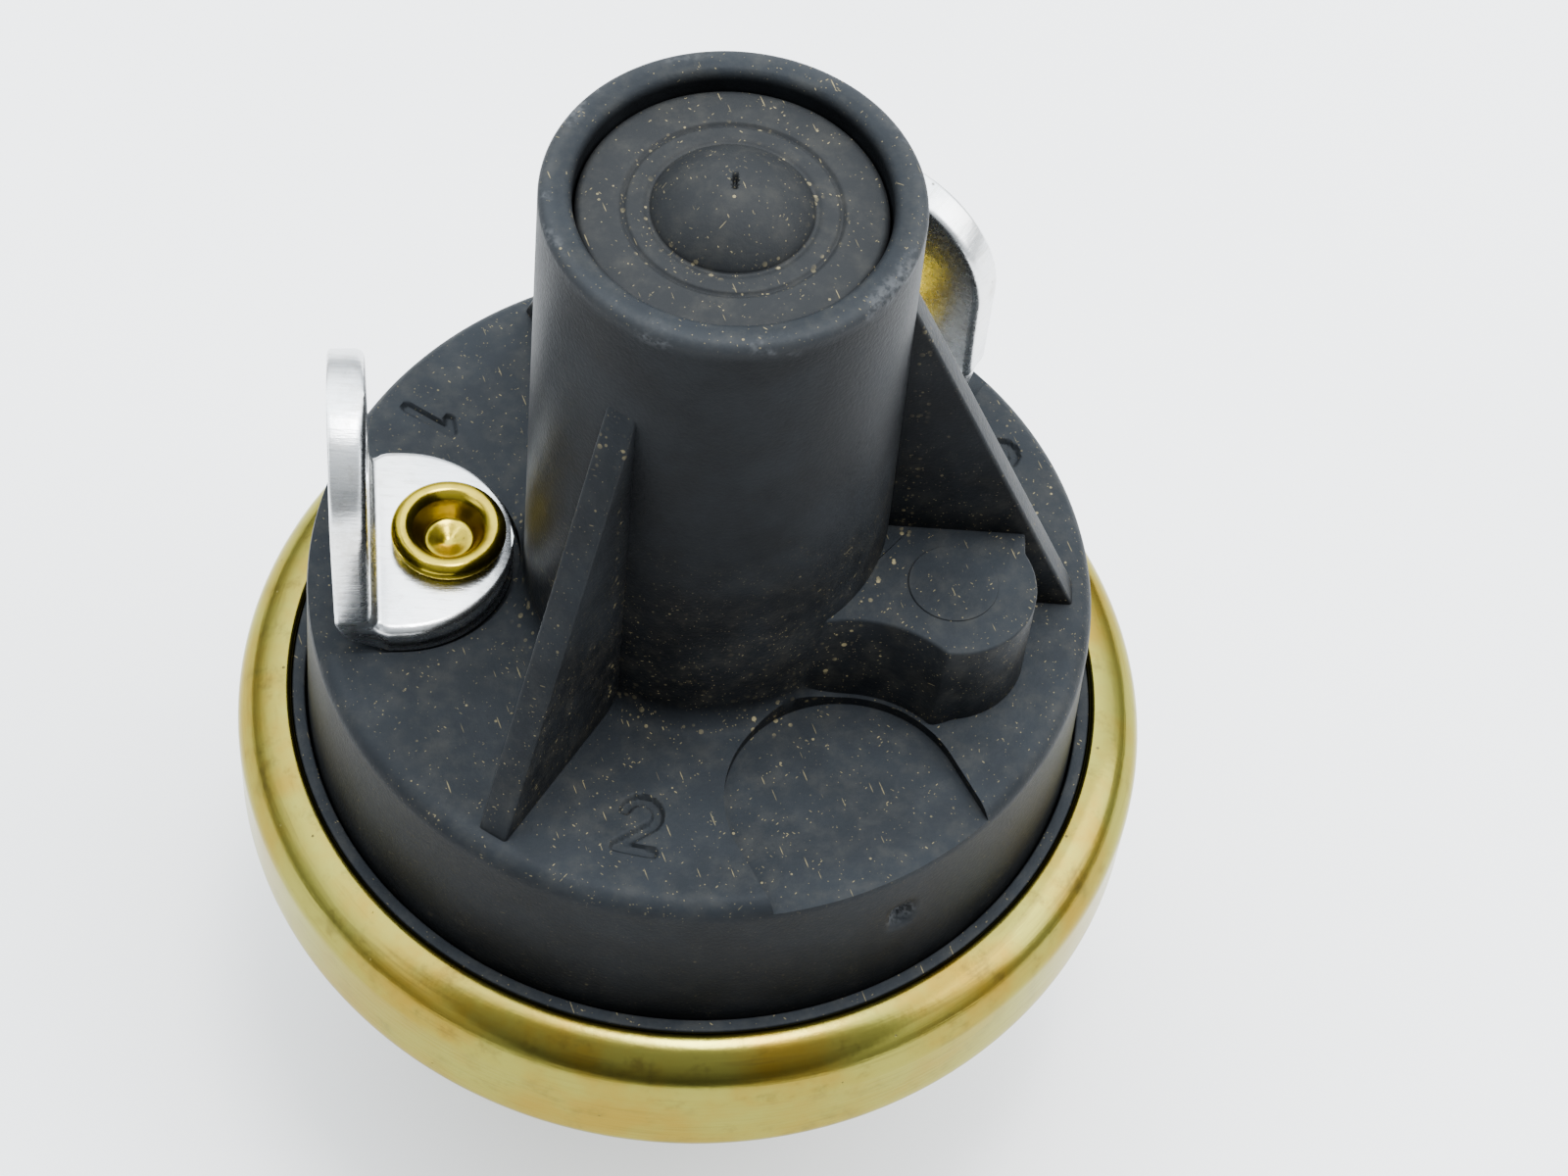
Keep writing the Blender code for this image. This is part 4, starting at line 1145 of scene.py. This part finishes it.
    def pad(self) -> bpy.types.Object:
        """Raised pad beside the rib at azimuth zero: a round column, a web to the tower and a hollow side.

        The outline runs along the hollow's circle, round the column's circle from where the two meet, and
        back inside the tower.

        Returns:
            The new object.
        """
        middle = self.pad_place * direction(self.pad_azimuth)
        hollow = self.pocket_place * direction(SPARE_AZIMUTH)
        gap = hollow - middle
        far = np.linalg.norm(gap)
        cosine = (self.pad_radius**2 + far**2 - self.pad_hollow**2) / (2 * self.pad_radius * far)
        half_angle = math.acos(cosine)
        meet = math.atan2(gap[1], gap[0]) + half_angle
        corner = middle + self.pad_radius * np.array([math.cos(meet), math.sin(meet)])
        first = math.atan2(*(corner - hollow)[::-1])
        last = math.radians(self.pad_web_end)
        sweep = np.linspace(last, first, 28)
        hollow_side = hollow + self.pad_hollow * np.stack([np.cos(sweep), np.sin(sweep)], axis=1)
        around = np.linspace(meet, math.acos(self.pad_flat_cosine), 40)
        round_side = middle + self.pad_radius * np.stack([np.cos(around), np.sin(around)], axis=1)
        ends = np.array([[round_side[-1, 0], 0.2], [6.9, 0.2], [5.0, -3.6]])
        outline = resampled(np.concatenate([hollow_side, round_side, ends]), self.pad_step)
        low = DRUM_TOP - self.pad_root
        thickness = self.pad_height + self.pad_root

        def place(loops: np.ndarray, heights: np.ndarray) -> np.ndarray:
            """Lays the outline flat above the drum's roof, its hollow wall leaning in towards the foot.

            Args:
                loops: Outlines as (u, v) rows.
                heights: Height of each point above the pad's root.

            Returns:
                The placed points.
            """
            offset = loops - hollow
            away = np.linalg.norm(offset, axis=-1)
            on_hollow = 1 - smooth(away, self.pad_hollow + 0.1, self.pad_hollow + 0.65)
            lean = self.pad_lean * (1 - heights / thickness) * on_hollow
            leaned = loops - offset * (lean / away)[..., None]
            return np.stack([leaned[..., 0], leaned[..., 1], low + heights], axis=-1)

        return rounded_plate("cover_pad", outline, thickness, self.pad_edge, place)

    def pad_ring(self) -> bpy.types.Object:
        """Low round land left by a mould pin on the pad, as a turned disc with a soft edge.

        Returns:
            The new object.
        """
        top = DRUM_TOP + self.pad_height
        points = profile(
            (0.0, top + self.land_height),
            line((0.6, top + self.land_height), (self.land_radius - 0.08, top + self.land_height), 6),
            arc(self.land_radius - self.land_height, top, self.land_height, 90, 0, 5),
            (self.land_radius, top - 0.25),
            (0.0, top - 0.25),
        )
        shift = np.append(self.pad_place * direction(self.pad_azimuth), 0.0)
        return skin("cover_pad_land", turned(points, round_angles(72)) + shift)

    def thread(self) -> bpy.types.Object:
        """Inner thread of the tower: a turned sleeve whose inner wall follows the helix.

        At height z and angle a the phase is the fraction of (z - start) / pitch - a / 2 pi. The wall stands
        at the root within the groove's width round phase zero, at the crest elsewhere, with sloping flanks.

        Returns:
            The new object.
        """
        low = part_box("upper_spring_seat")[0].z / MM - 0.7
        high = TOWER_TOP - self.mouth_depth - 0.02
        heights = np.linspace(low, high, 150)
        angles = round_angles(96)
        start = SCREW_BOTTOM + THREAD_START * self.thread_pitch
        away = off_helix(heights, angles, self.thread_pitch, start)
        inner = self.thread_root + (self.thread_crest - self.thread_root) * smooth(away, 0.20, 0.43)
        ring = np.full_like(angles, self.bore_radius + 0.5)
        radius = np.concatenate([inner, [ring, ring]])
        levels = np.concatenate([heights, [high, low]])
        return skin("cover_thread", wound(radius, levels, angles), wrap_rows=True, crease=50.0)

    def build(self) -> list[bpy.types.Object]:
        """Makes and dresses every part of the cover.

        Returns:
            The new objects.
        """
        pieces = [self.body(), *(self.rib(azimuth) for azimuth in self.rib_azimuths)]
        pieces += [self.pad(), self.pad_ring(), self.thread()]
        material = BLACK_COVER.material()
        for piece in pieces:
            settle(piece, HOUSING, material, "black_moulding", "cover")
        return pieces


def dress(
    piece: bpy.types.Object, material: bpy.types.Material, slot: str, *nodes: str
) -> bpy.types.Object:
    """Gives a piece its finish and hides the CAD nodes that it stands for.

    Args:
        piece: The new piece.
        material: Its finish.
        slot: Not used.
        nodes: CAD nodes that it stands for.

    Returns:
        The piece.
    """
    piece.data.materials.clear()
    piece.data.materials.append(material)
    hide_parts(*nodes)
    return piece


def settle(
    piece: bpy.types.Object, body: str, material: bpy.types.Material, slot: str, *nodes: str
) -> bpy.types.Object:
    """Dresses a piece and lets it ride on one CAD body.

    Args:
        piece: The new piece.
        body: The CAD body that it rides on.
        material: Its finish.
        slot: The record's material slot.
        nodes: CAD nodes that it stands for.

    Returns:
        The piece.
    """
    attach(piece, body)
    return dress(piece, material, slot, *nodes)


@dataclass
class Shell:
    """Drawn steel shell with its lip rolled over the cover's flange."""

    radius: float = 21.5
    wall: float = 0.9
    roll: float = 2.5
    corner: float = 1.0
    hole: float = 13.07
    lip_reach: float = 0.12
    lip_inner_round: float = 0.22
    lip_outer_round: float = 0.30
    hole_round: float = 0.2
    inner_corner: float = 0.45

    def build(self) -> list[bpy.types.Object]:
        """Turned shell: lip edge, roll, wall and floor, and the same inside by the wall's thickness.

        Returns:
            The new object, in a list.
        """
        centre_r = self.radius - self.roll
        centre_z = SHELL_TOP - self.roll
        low = SHELL_BOTTOM
        inner = self.radius - self.wall
        lip = centre_r - self.lip_reach
        under, over = self.lip_inner_round, self.lip_outer_round
        edge, bend = self.hole_round, self.inner_corner
        points = profile(
            arc(lip + under, SHELL_TOP - self.wall + 0.24, under, 240, 180, 4),
            arc(lip + over, SHELL_TOP - 0.31, over, 180, 96, 7),
            arc(centre_r, centre_z, self.roll, 83, 0, 24),
            line((self.radius, centre_z - 0.3), (self.radius, low + self.corner), 6),
            arc(self.radius - self.corner, low + self.corner, self.corner, 0, -90, 9),
            line((self.radius - self.corner - 0.5, low), (self.hole + edge, low), 6),
            arc(self.hole + edge, low + edge, edge, -90, -180, 4),
            (self.hole, low + self.wall),
            line((self.hole + 0.4, low + self.wall), (inner - 0.5, low + self.wall), 4),
            arc(inner - bend, low + self.wall + bend, bend, -90, 0, 4),
            arc(centre_r, centre_z, self.roll - self.wall, 0, 80, 10),
        )
        piece = skin("crimp_shell_rolled", turned(points, round_angles(288)), wrap_rows=True, crease=45.0)
        return [settle(piece, HOUSING, GOLD_STEEL.material(), "gold_steel", "crimp_shell")]


@dataclass
class Base:
    """Base fitting: tapered port thread, bore, hexagon and the plate inside the shell."""

    port_length: float = 10.0
    port_radius: float = 5.18
    port_pitch: float = 0.94
    port_depth: float = 0.70
    taper: float = 1 / 32
    bore: float = 2.2
    across_flats: float = 22.2
    corner_break: float = 0.12
    hex_top: float = 16.8
    plate_bottom: float = 18.0
    plate_top: float = 19.7
    plate_radius: float = 20.5
    chamber_radius: float = 12.0
    chamber_depth: float = 0.8

    def port_wall(self, heights: np.ndarray, angles: np.ndarray) -> np.ndarray:
        """Radius of the thread: a tapered core, plus a ridge where the phase of the helix is near zero.

        The phase is the fraction of z / pitch - a / 2 pi, and the ridge fades out at both ends.

        Args:
            heights: Height of each row.
            angles: Angle of each column in radians.

        Returns:
            Radii, rows by columns.
        """
        core = self.port_radius - self.port_depth + self.taper * heights[:, None]
        away = off_helix(heights, angles, self.port_pitch, 0.0)
        end = self.port_length
        fade = smooth(heights, 0.5, 1.3) * (1 - smooth(heights, end - 1.5, end - 0.7))
        return core + self.port_depth * (1 - np.clip((away - 0.06) / 0.38, 0.0, 1.0)) * fade[:, None]

    def hex_wall(self, heights: np.ndarray, angles: np.ndarray) -> np.ndarray:
        """Radius of the hexagon: flat / cos(angle off the nearest flat), cut by a 30 degree cone below.

        Args:
            heights: Height of each row.
            angles: Angle of each column in radians.

        Returns:
            Radii, rows by columns.
        """
        corners = self.across_flats / math.sqrt(3) - self.corner_break
        flats = np.minimum(hexagon(self.across_flats, angles), corners)
        cone = self.across_flats / 2 - 0.3 + (heights - self.port_length) / math.tan(math.radians(30))
        return np.minimum(flats[None, :], cone[:, None])

    def build(self) -> list[bpy.types.Object]:
        """One turned surface whose radius follows the thread and the hexagon round the axis.

        Returns:
            The new object, in a list.
        """
        angles = round_angles(192)
        neck = self.across_flats / math.sqrt(3) + 0.1
        thread_z = np.linspace(0.35, self.port_length - 0.4, 260)
        chamfer_z = np.linspace(self.port_length, self.port_length + 1.3, 9)
        hex_z = np.concatenate([chamfer_z, [self.hex_top - 0.15]])
        core = self.port_radius - self.port_depth
        rings = [(self.bore + 0.35, 0.0), (core - 0.35, 0.0)]
        after_thread = [(core + 0.31, self.port_length - 0.2), (core + 0.9, self.port_length)]
        above = [
            (neck - 0.15, self.hex_top),
            (neck, self.hex_top + 0.1),
            (neck, self.plate_bottom),
            (self.plate_radius - 0.6, self.plate_bottom),
            (self.plate_radius, self.plate_bottom + 0.6),
            (self.plate_radius, self.plate_top),
            (self.chamber_radius, self.plate_top),
            (self.chamber_radius, self.plate_top - self.chamber_depth),
            (self.bore, self.plate_top - self.chamber_depth),
            (self.bore, 0.35),
        ]
        even = np.ones_like(angles)
        radius = np.concatenate(
            [
                np.outer([r for r, _ in rings], even),
                self.port_wall(thread_z, angles),
                np.outer([r for r, _ in after_thread], even),
                self.hex_wall(hex_z, angles),
                np.outer([r for r, _ in above], even),
            ]
        )
        levels = np.concatenate(
            [[z for _, z in rings], thread_z, [z for _, z in after_thread], hex_z, [z for _, z in above]]
        )
        grid = wound(radius, levels, angles)
        piece = skin("base_fitting_threaded", grid, wrap_rows=True, crease=28.0)
        return [settle(piece, HOUSING, GOLD_STEEL.material(), "gold_steel", "base_fitting")]


@dataclass
class Terminal:
    """Stamped right-angled terminal and the hollow rivet that holds it."""

    name: str
    azimuth: float
    finish: PlatedSteel
    turn: float = 0.0
    thickness: float = 1.6
    half_width: float = 5.03
    round_place: float = 13.6
    tab_place: float = 15.8
    tab_top: float = 12.0
    bend: float = 1.25
    hole: float = 1.9
    die_roll: float = 0.46
    burr: float = 0.18
    rivet_radius: float = 2.6
    rivet_rim: float = 0.5
    rivet_shank: float = 1.75
    bend_nick: float = 0.28

    def foot_bottom(self) -> float:
        """Height of the foot's underside."""
        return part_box(f"terminal_{self.name}")[0].z / MM

    def strip(self) -> bpy.types.Object:
        """The terminal as a rounded rectangle carried along its bent middle line.

        The middle line runs out along the foot, round the bend and up the tab. The half width is the half
        chord of a circle at both ends, and is drawn in a little at the bend's relief nicks.

        Returns:
            The new object.
        """
        level = self.foot_bottom() + self.thickness / 2
        bend_x = self.tab_place - self.bend
        arch = DRUM_TOP + self.tab_top - self.half_width
        first = self.round_place - self.half_width * np.cos(np.linspace(0.03, math.pi / 2, 30))
        foot = np.stack([first, np.full_like(first, level)], axis=1)
        run = line((self.round_place + 0.1, level), (bend_x, level), 6)
        turn = np.radians(np.linspace(-90, 0, 12))[1:]
        corner = np.stack(
            [bend_x + self.bend * np.cos(turn), level + self.bend + self.bend * np.sin(turn)], axis=1
        )
        rise = line((self.tab_place, level + self.bend + 0.15), (self.tab_place, arch), 22)
        last = arch + self.half_width * np.sin(np.linspace(0.05, math.pi / 2 - 0.03, 34))
        cap = np.stack([np.full_like(last, self.tab_place), last], axis=1)
        path = np.concatenate([foot, run, corner, rise, cap])
        width = np.full(len(path), self.half_width)
        round_ends = ((slice(len(first)), self.round_place - first), (slice(-len(last), None), last - arch))
        for rows, reach in round_ends:
            width[rows] = np.sqrt(np.maximum(self.half_width**2 - reach**2, LEAST_CHORD))
        away = np.hypot(path[:, 0] - self.tab_place + 0.4, path[:, 1] - level - 0.4)
        width -= self.bend_nick * (1 - smooth(away, 0.5, 1.3))
        along = np.gradient(path, axis=0)
        along /= np.linalg.norm(along, axis=1)[:, None]
        normal = np.stack([-along[:, 1], along[:, 0]], axis=1)
        across, through = self.section(width)
        x = path[:, 0][:, None] + normal[:, 0][:, None] * through
        z = path[:, 1][:, None] + normal[:, 1][:, None] * through
        grid = self.stand(np.stack([x, across, z], axis=2))
        piece = skin(f"terminal_{self.name}_strip", grid, crease=50.0)
        ring = self.hole * np.stack([np.cos(round_angles(64)), np.sin(round_angles(64))])
        ends = np.array([-2.5, 2.5])[:, None] * np.ones(64)
        screw_hole = np.stack([self.tab_place + ends, ring[0] + 0 * ends, arch + ring[1] + 0 * ends], axis=2)
        rivet_hole = np.stack([RIVET_PLACE + ring[0] + 0 * ends, ring[1] + 0 * ends, level + ends], axis=2)
        cut_away(piece, [skin("hole", self.stand(hole)) for hole in (screw_hole, rivet_hole)])
        return piece

    def stand(self, points: np.ndarray) -> np.ndarray:
        """Turns points about the rivet by the terminal's own turn, and then to its azimuth."""
        rivet = np.array([RIVET_PLACE, 0.0, 0.0])
        return rotate(rotate(points - rivet, self.turn) + rivet, self.azimuth)

    def section(self, width: np.ndarray) -> tuple[np.ndarray, np.ndarray]:
        """Rounded rectangles, one a row, for half widths along the strip.

        Args:
            width: Half widths.

        Returns:
            Places across the strip and through its thickness, rows by points.
        """
        half = self.thickness / 2
        turn = np.radians(np.linspace(0, 90, 5))
        signs = [(1, 1), (-1, 1), (-1, -1), (1, -1)]
        across, through = [], []
        for number, (side, face) in enumerate(signs):
            bend = turn if number % 2 == 0 else turn[::-1]
            corner = np.minimum(self.die_roll if face > 0 else self.burr, width * 0.9)[:, None]
            across.append(side * (width[:, None] - corner * (1 - np.cos(bend))))
            through.append(face * (half - corner * (1 - np.sin(bend))) * np.ones_like(width[:, None]))
        return np.concatenate(across, axis=1), np.concatenate(through, axis=1)

    def rivet(self) -> bpy.types.Object:
        """Hollow rivet: a rolled rim over the foot, a hollow with a coned floor, and a solid inner head.

        Returns:
            The new object.
        """
        low = self.foot_bottom() + self.thickness + 0.1
        top = low + 2 * self.rivet_rim
        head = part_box(f"rivet_{self.name}")[0].z / MM
        rim = self.rivet_radius - self.rivet_rim
        points = profile(
            (0.0, top - 1.50),
            line((0.2, top - 1.46), (1.0, top - 1.16), 6),
            arc(1.0, top - 1.01, 0.15, -90, -20, 4),
            line((1.18, top - 0.98), (1.34, top - 0.70), 4),
            line((1.42, top - 0.55), (1.62, top - 0.22), 4),
            arc(rim, top - self.rivet_rim, self.rivet_rim, 122, -70, 16),
            (rim, low),
            (self.rivet_shank, low),
            (self.rivet_shank, head + 0.6),
            arc(self.rivet_radius - 0.15, head + 0.45, 0.15, 90, -90, 6),
            (0.0, head),
        )
        shift = np.append(RIVET_PLACE * direction(self.azimuth), 0.0)
        return skin(f"rivet_{self.name}_rolled", turned(points, round_angles(96)) + shift, crease=50.0)

    def build(self) -> list[bpy.types.Object]:
        """Makes and dresses the terminal and its rivet.

        Returns:
            The new objects.
        """
        strip, rivet = self.strip(), self.rivet()
        settle(strip, HOUSING, self.finish.material(), "bright_steel", f"terminal_{self.name}")
        settle(rivet, HOUSING, RIVET_BRASS.material(), "brass", f"rivet_{self.name}")
        return [strip, rivet]


@dataclass
class Plug:
    """Rubber plug in the tower's mouth, with a low dome, a faint ring and a slit."""

    radius: float = 6.32
    dome_radius: float = 3.3
    dome_height: float = 1.6
    ring_radius: float = 4.4
    thickness: float = 2.2
    skin_thickness: float = 1.0
    hollow_radius: float = 4.7
    slit_half_width: float = 0.09
    slit_half_length: float = 0.36
    slit_depth: float = 0.42

    def build(self) -> list[bpy.types.Object]:
        """Turned plug: a full cap h (1 - (r/R)^2)^0.8, a fine groove at the ring, and a slit near the top.

        The slit lowers the dome where a point is within its half width and half length of the middle.

        Returns:
            The new object, in a list.
        """
        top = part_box("tower_plug")[1].z / MM - self.dome_height
        reach = self.dome_radius * np.sin(np.linspace(0.0, math.pi / 2, 46))
        share = reach / self.dome_radius
        cap = self.dome_height * (1 - share**2) ** 0.8
        flat_r = np.linspace(self.dome_radius + 0.05, self.radius - 0.35, 48)
        groove = 0.12 * np.exp(-(((flat_r - self.ring_radius) / 0.11) ** 2))
        moat = 0.07 * np.exp(-(((flat_r - self.dome_radius - 0.12) / 0.14) ** 2))
        low = top - self.thickness
        points = profile(
            np.stack([reach, top + cap], axis=1),
            np.stack([flat_r, top - groove - moat], axis=1),
            arc(self.radius - 0.3, top - 0.3, 0.3, 90, 0, 6),
            line((self.radius, top - 0.6), (self.radius, low), 3),
            (self.hollow_radius, low),
            (self.hollow_radius, top - self.skin_thickness),
            (2.4, top - self.skin_thickness + 0.1),
            (1.4, top + 0.35),
            (0.0, top + 0.5),
        )
        grid = turned(points, round_angles(144))
        x, y, z = grid[..., 0], grid[..., 1], grid[..., 2]
        upper = (np.arange(len(points)) < len(reach))[:, None]
        slit = np.exp(-((x / self.slit_half_width) ** 4) - ((y - 0.12) / self.slit_half_length) ** 4)
        grid = np.stack([x, y, z - self.slit_depth * slit * upper], axis=2)
        piece = skin("tower_plug_domed", grid, crease=45.0)
        return [settle(piece, "plug", DARK_RUBBER.material(), "rubber", "tower_plug")]


@dataclass
class Adjuster:
    """Adjusting screw in the tower: a threaded brass plug with a hexagon socket."""

    core: float = 4.6
    depth: float = 0.55
    pitch: float = 1.5
    key_flats: float = 5.6
    key_depth: float = 3.6

    def build(self) -> list[bpy.types.Object]:
        """One turned surface: thread outside, in phase with the tower's own, and a hexagon socket.

        The phase is the fraction of (z - start) / pitch - a / 2 pi, with the ridge round phase zero.

        Returns:
            The new object, in a list.
        """
        angles = round_angles(120)
        heights = np.linspace(SCREW_BOTTOM + 0.5, SCREW_TOP - 0.5, 180)
        away = off_helix(heights, angles, self.pitch, SCREW_BOTTOM + THREAD_START * self.pitch)
        fade = smooth(heights, SCREW_BOTTOM + 0.6, SCREW_BOTTOM + 1.1)
        fade = fade * (1 - smooth(heights, SCREW_TOP - 1.5, SCREW_TOP - 0.9))
        wall = self.core + self.depth * (1 - smooth(away, 0.09, 0.31)) * fade[:, None]
        key = hexagon(self.key_flats, angles)
        even = np.ones_like(angles)
        radius = np.concatenate(
            [
                np.outer([0.0, self.core - 0.5], even),
                wall,
                np.outer([self.core - 0.5], even),
                [key + 0.25, key, key],
                np.outer([0.0], even),
            ]
        )
        floor = SCREW_TOP - self.key_depth
        levels = np.concatenate(
            [[SCREW_BOTTOM] * 2, heights, [SCREW_TOP], [SCREW_TOP, SCREW_TOP - 0.25, floor], [floor - 0.5]]
        )
        piece = skin("adjusting_screw_threaded", wound(radius, levels, angles), crease=35.0)
        return [settle(piece, "adjuster", SCREW_BRASS.material(), "brass", "adjusting_screw")]


@dataclass
class RangeSpring:
    """Main spring in the tower, in two lengths that meet at the middle turn."""

    radius: float = 3.7
    wire: float = 0.9
    open_turns: float = 6.0
    closed_turns: float = 1.0
    closed_rise: float = 1.575

    def half(self, name: str, first: float, last: float) -> bpy.types.Object:
        """Round wire carried along part of the helix (R cos a, R sin a, z), a being one full angle a turn.

        The height z rises gently in the closed end turns and evenly in the open ones. The wire's section is
        spanned by the outward direction and its cross product with the path.

        Args:
            name: Name of the piece.
            first: Turns from the bottom end to the start of this part.
            last: Turns from the bottom end to its end.

        Returns:
            The new object.
        """
        low, high = (corner.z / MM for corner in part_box("range_spring"))
        low, high = low + self.wire / 2, high - self.wire / 2
        turns = np.cumsum([0.0, self.closed_turns, self.open_turns, self.closed_turns])
        levels = [low, low + self.closed_rise, high - self.closed_rise, high]
        turn = np.linspace(first, last, int(36 * (last - first)) + 1)
        angle = FULL_TURN * turn
        outwards = np.stack([np.cos(angle), np.sin(angle), np.zeros_like(angle)], axis=1)
        rise = np.interp(turn, turns, levels)[:, None] * np.array([0.0, 0.0, 1.0])
        path = self.radius * outwards + rise
        along = np.gradient(path, axis=0)
        along /= np.linalg.norm(along, axis=1)[:, None]
        upwards = np.cross(along, outwards)
        bend = round_angles(14)[None, :, None]
        section = outwards[:, None] * np.cos(bend) + upwards[:, None] * np.sin(bend)
        return skin(name, path[:, None] + self.wire / 2 * section, crease=60.0)

    def build(self) -> list[bpy.types.Object]:
        """Makes both lengths.

        Returns:
            The new objects.
        """
        turns = self.open_turns + 2 * self.closed_turns
        lower = self.half("range_spring_lower", 0.0, turns / 2)
        upper = self.half("range_spring_upper", turns / 2, turns)
        material = SPRING_WIRE.material()
        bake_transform(lower)
        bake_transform(upper)
        return [dress(piece, material, "spring_steel", "range_spring") for piece in (lower, upper)]


INNER_FINISHES: dict[str, DarkMoulding | PlatedSteel | PlainMoulding] = {
    "base_seal": SEAL_RUBBER,
    "diaphragm": BROWN_SHEET,
    "clamp_ring": INNER_STEEL,
    "piston_plate": INNER_STEEL,
    "plunger": NATURAL_NYLON,
    "contact_spring": SPRING_WIRE,
    "contact_disc": SILVERED_COPPER,
    "contact_clip": SPRING_WIRE,
    "lower_spring_seat": INNER_STEEL,
    "upper_spring_seat": INNER_STEEL,
}


def dress_inner_nodes() -> None:
    """Gives each sealed CAD node its own procedural finish."""
    made: dict[str, bpy.types.Material] = {}
    for node, finish in INNER_FINISHES.items():
        if finish.name not in made:
            made[finish.name] = finish.material()
        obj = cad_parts[node]
        obj.data.materials.clear()
        obj.data.materials.append(made[finish.name])
        LOG.info("inner part %s: %s", node, finish.name)


@dataclass
class Studio:
    """Pale floor, soft lights and the camera of the photograph."""

    focal_pixels: float = 3803.761
    image_width: float = 1600.0
    sensor_width: float = 36.0
    distance: float = 179.453
    elevation: float = 57.63
    yaw: float = -1.278
    pitch: float = 2.019
    roll: float = -4.834
    azimuth: float = -1.5
    fitted_drum_top: float = 12.186
    floor_reach: float = 600.0
    table_tones: tuple[Triple, Triple] = ((0.93, 0.925, 0.925), (0.89, 0.885, 0.885))
    aim: Triple = (0.0, 0.0, 0.03)
    room_colour: Triple = (0.89, 0.95, 1.0)
    overhead_light: float = 6.4
    level_light: float = 0.9
    dim_direction: Triple = (0.0, -0.707, 0.707)
    dim_reach: Pair = (0.69, 0.80)
    dim_share: float = 0.84

    def camera(self) -> bpy.types.Object:
        """Camera fitted to the circles of the drum, the tower and the shell, turned by yaw, pitch and roll.

        Returns:
            The camera.
        """
        rise = math.radians(self.elevation)
        place = Vector((0.0, -self.distance * math.cos(rise), self.distance * math.sin(rise)))
        forward = -place.normalized()
        right = Vector((1.0, 0.0, 0.0))
        up = right.cross(forward)
        sideways = Matrix.Rotation(math.radians(self.yaw), 3, up)
        turn = sideways @ Matrix.Rotation(math.radians(self.pitch), 3, right)
        forward, right, up = turn @ forward, turn @ right, turn @ up
        bank = Matrix.Rotation(math.radians(self.roll), 3, forward)
        right, up = bank @ right, bank @ up
        axes = Matrix((right, up, -forward)).transposed()
        around = Matrix.Rotation(math.radians(self.azimuth), 3, "Z")
        data = bpy.data.cameras.new("photo_camera")
        data.sensor_width = self.sensor_width
        data.lens = self.focal_pixels * self.sensor_width / self.image_width
        data.clip_start = 0.01
        camera = bpy.data.objects.new("photo_camera", data)
        bpy.context.scene.collection.objects.link(camera)
        lifted = around @ place + Vector((0.0, 0.0, DRUM_TOP - self.fitted_drum_top))
        camera.matrix_world = Matrix.Translation(lifted * MM) @ (around @ axes).to_4x4()
        bpy.context.scene.camera = camera
        return camera

    def lamp(self, name: str, place: Triple, size: float, power: float) -> bpy.types.Object:
        """Square soft light that looks at the middle of the switch.

        Args:
            name: Name of the lamp.
            place: Its place in metres.
            size: Length of its side in metres.
            power: Its power in watts.

        Returns:
            The lamp.
        """
        data = bpy.data.lights.new(name, "AREA")
        data.size = size
        data.energy = power
        lamp = bpy.data.objects.new(name, data)
        bpy.context.scene.collection.objects.link(lamp)
        look = Vector(self.aim) - Vector(place)
        lamp.matrix_world = Matrix.Translation(place) @ look.to_track_quat("-Z", "Y").to_matrix().to_4x4()
        return lamp

    def floor(self) -> bpy.types.Object:
        """Wide pale table under the switch, as a flat square with a faint mottle.

        Returns:
            The floor.
        """
        corners = self.floor_reach * np.array([[-1, -1, 0], [1, -1, 0], [1, 1, 0], [-1, 1, 0]])
        floor = make_object("table", corners, [[0, 1, 2, 3]])
        board = Board(bpy.data.materials.new("white_table"))
        mottle = board.noise(22.0, 4.0, 0.6)
        base = board.mix(mottle.band(0.3, 0.75), *self.table_tones)
        floor.data.materials.append(board.surface(Base_Color=base, Roughness=0.7))
        return floor

    def room(self) -> None:
        """Room light: bright overhead by the sine of the elevation, and dim round one front direction."""
        board = Board(bpy.data.worlds.new("soft_room"), "Generated")
        ends = {0: board.coordinates, 1: self.dim_direction}
        front = board.node("ShaderNodeVectorMath", {"operation": "DOT_PRODUCT"}, ends, "Value")
        light = board.axis("Z").band(0.05, 1.0) * self.overhead_light + self.level_light
        strength = light * (1.0 - front.band(*self.dim_reach) * self.dim_share)
        bpy.context.scene.world = board.feed("Background", Color=self.room_colour, Strength=strength)

    def build(self) -> None:
        """Sets the stage and its light."""
        self.room()
        lamps = [
            self.lamp("top", place=(0.06, 0.03, 0.88), size=0.20, power=5.0),
            self.lamp("side", place=(0.55, 0.05, 0.45), size=0.50, power=4.0),
        ]
        self.camera()
        self.floor()


def main() -> None:
    """Builds each sub-assembly in order and reports its pieces."""
    logging.basicConfig(level=logging.INFO, format="%(message)s")
    assemblies = [
        Base(),
        Shell(),
        Cover(),
        Terminal("common", COMMON_AZIMUTH, BRIGHT_STEEL, COMMON_TURN),
        Terminal("open", OPEN_AZIMUTH, TURNED_BRIGHT_STEEL),
        Plug(),
        Adjuster(),
        RangeSpring(),
    ]
    for assembly in assemblies:
        for piece in assembly.build():
            LOG.info("%s: %d faces", piece.name, len(piece.data.polygons))
    dress_inner_nodes()
    Studio().build()


if __name__ == "__main__":
    main()
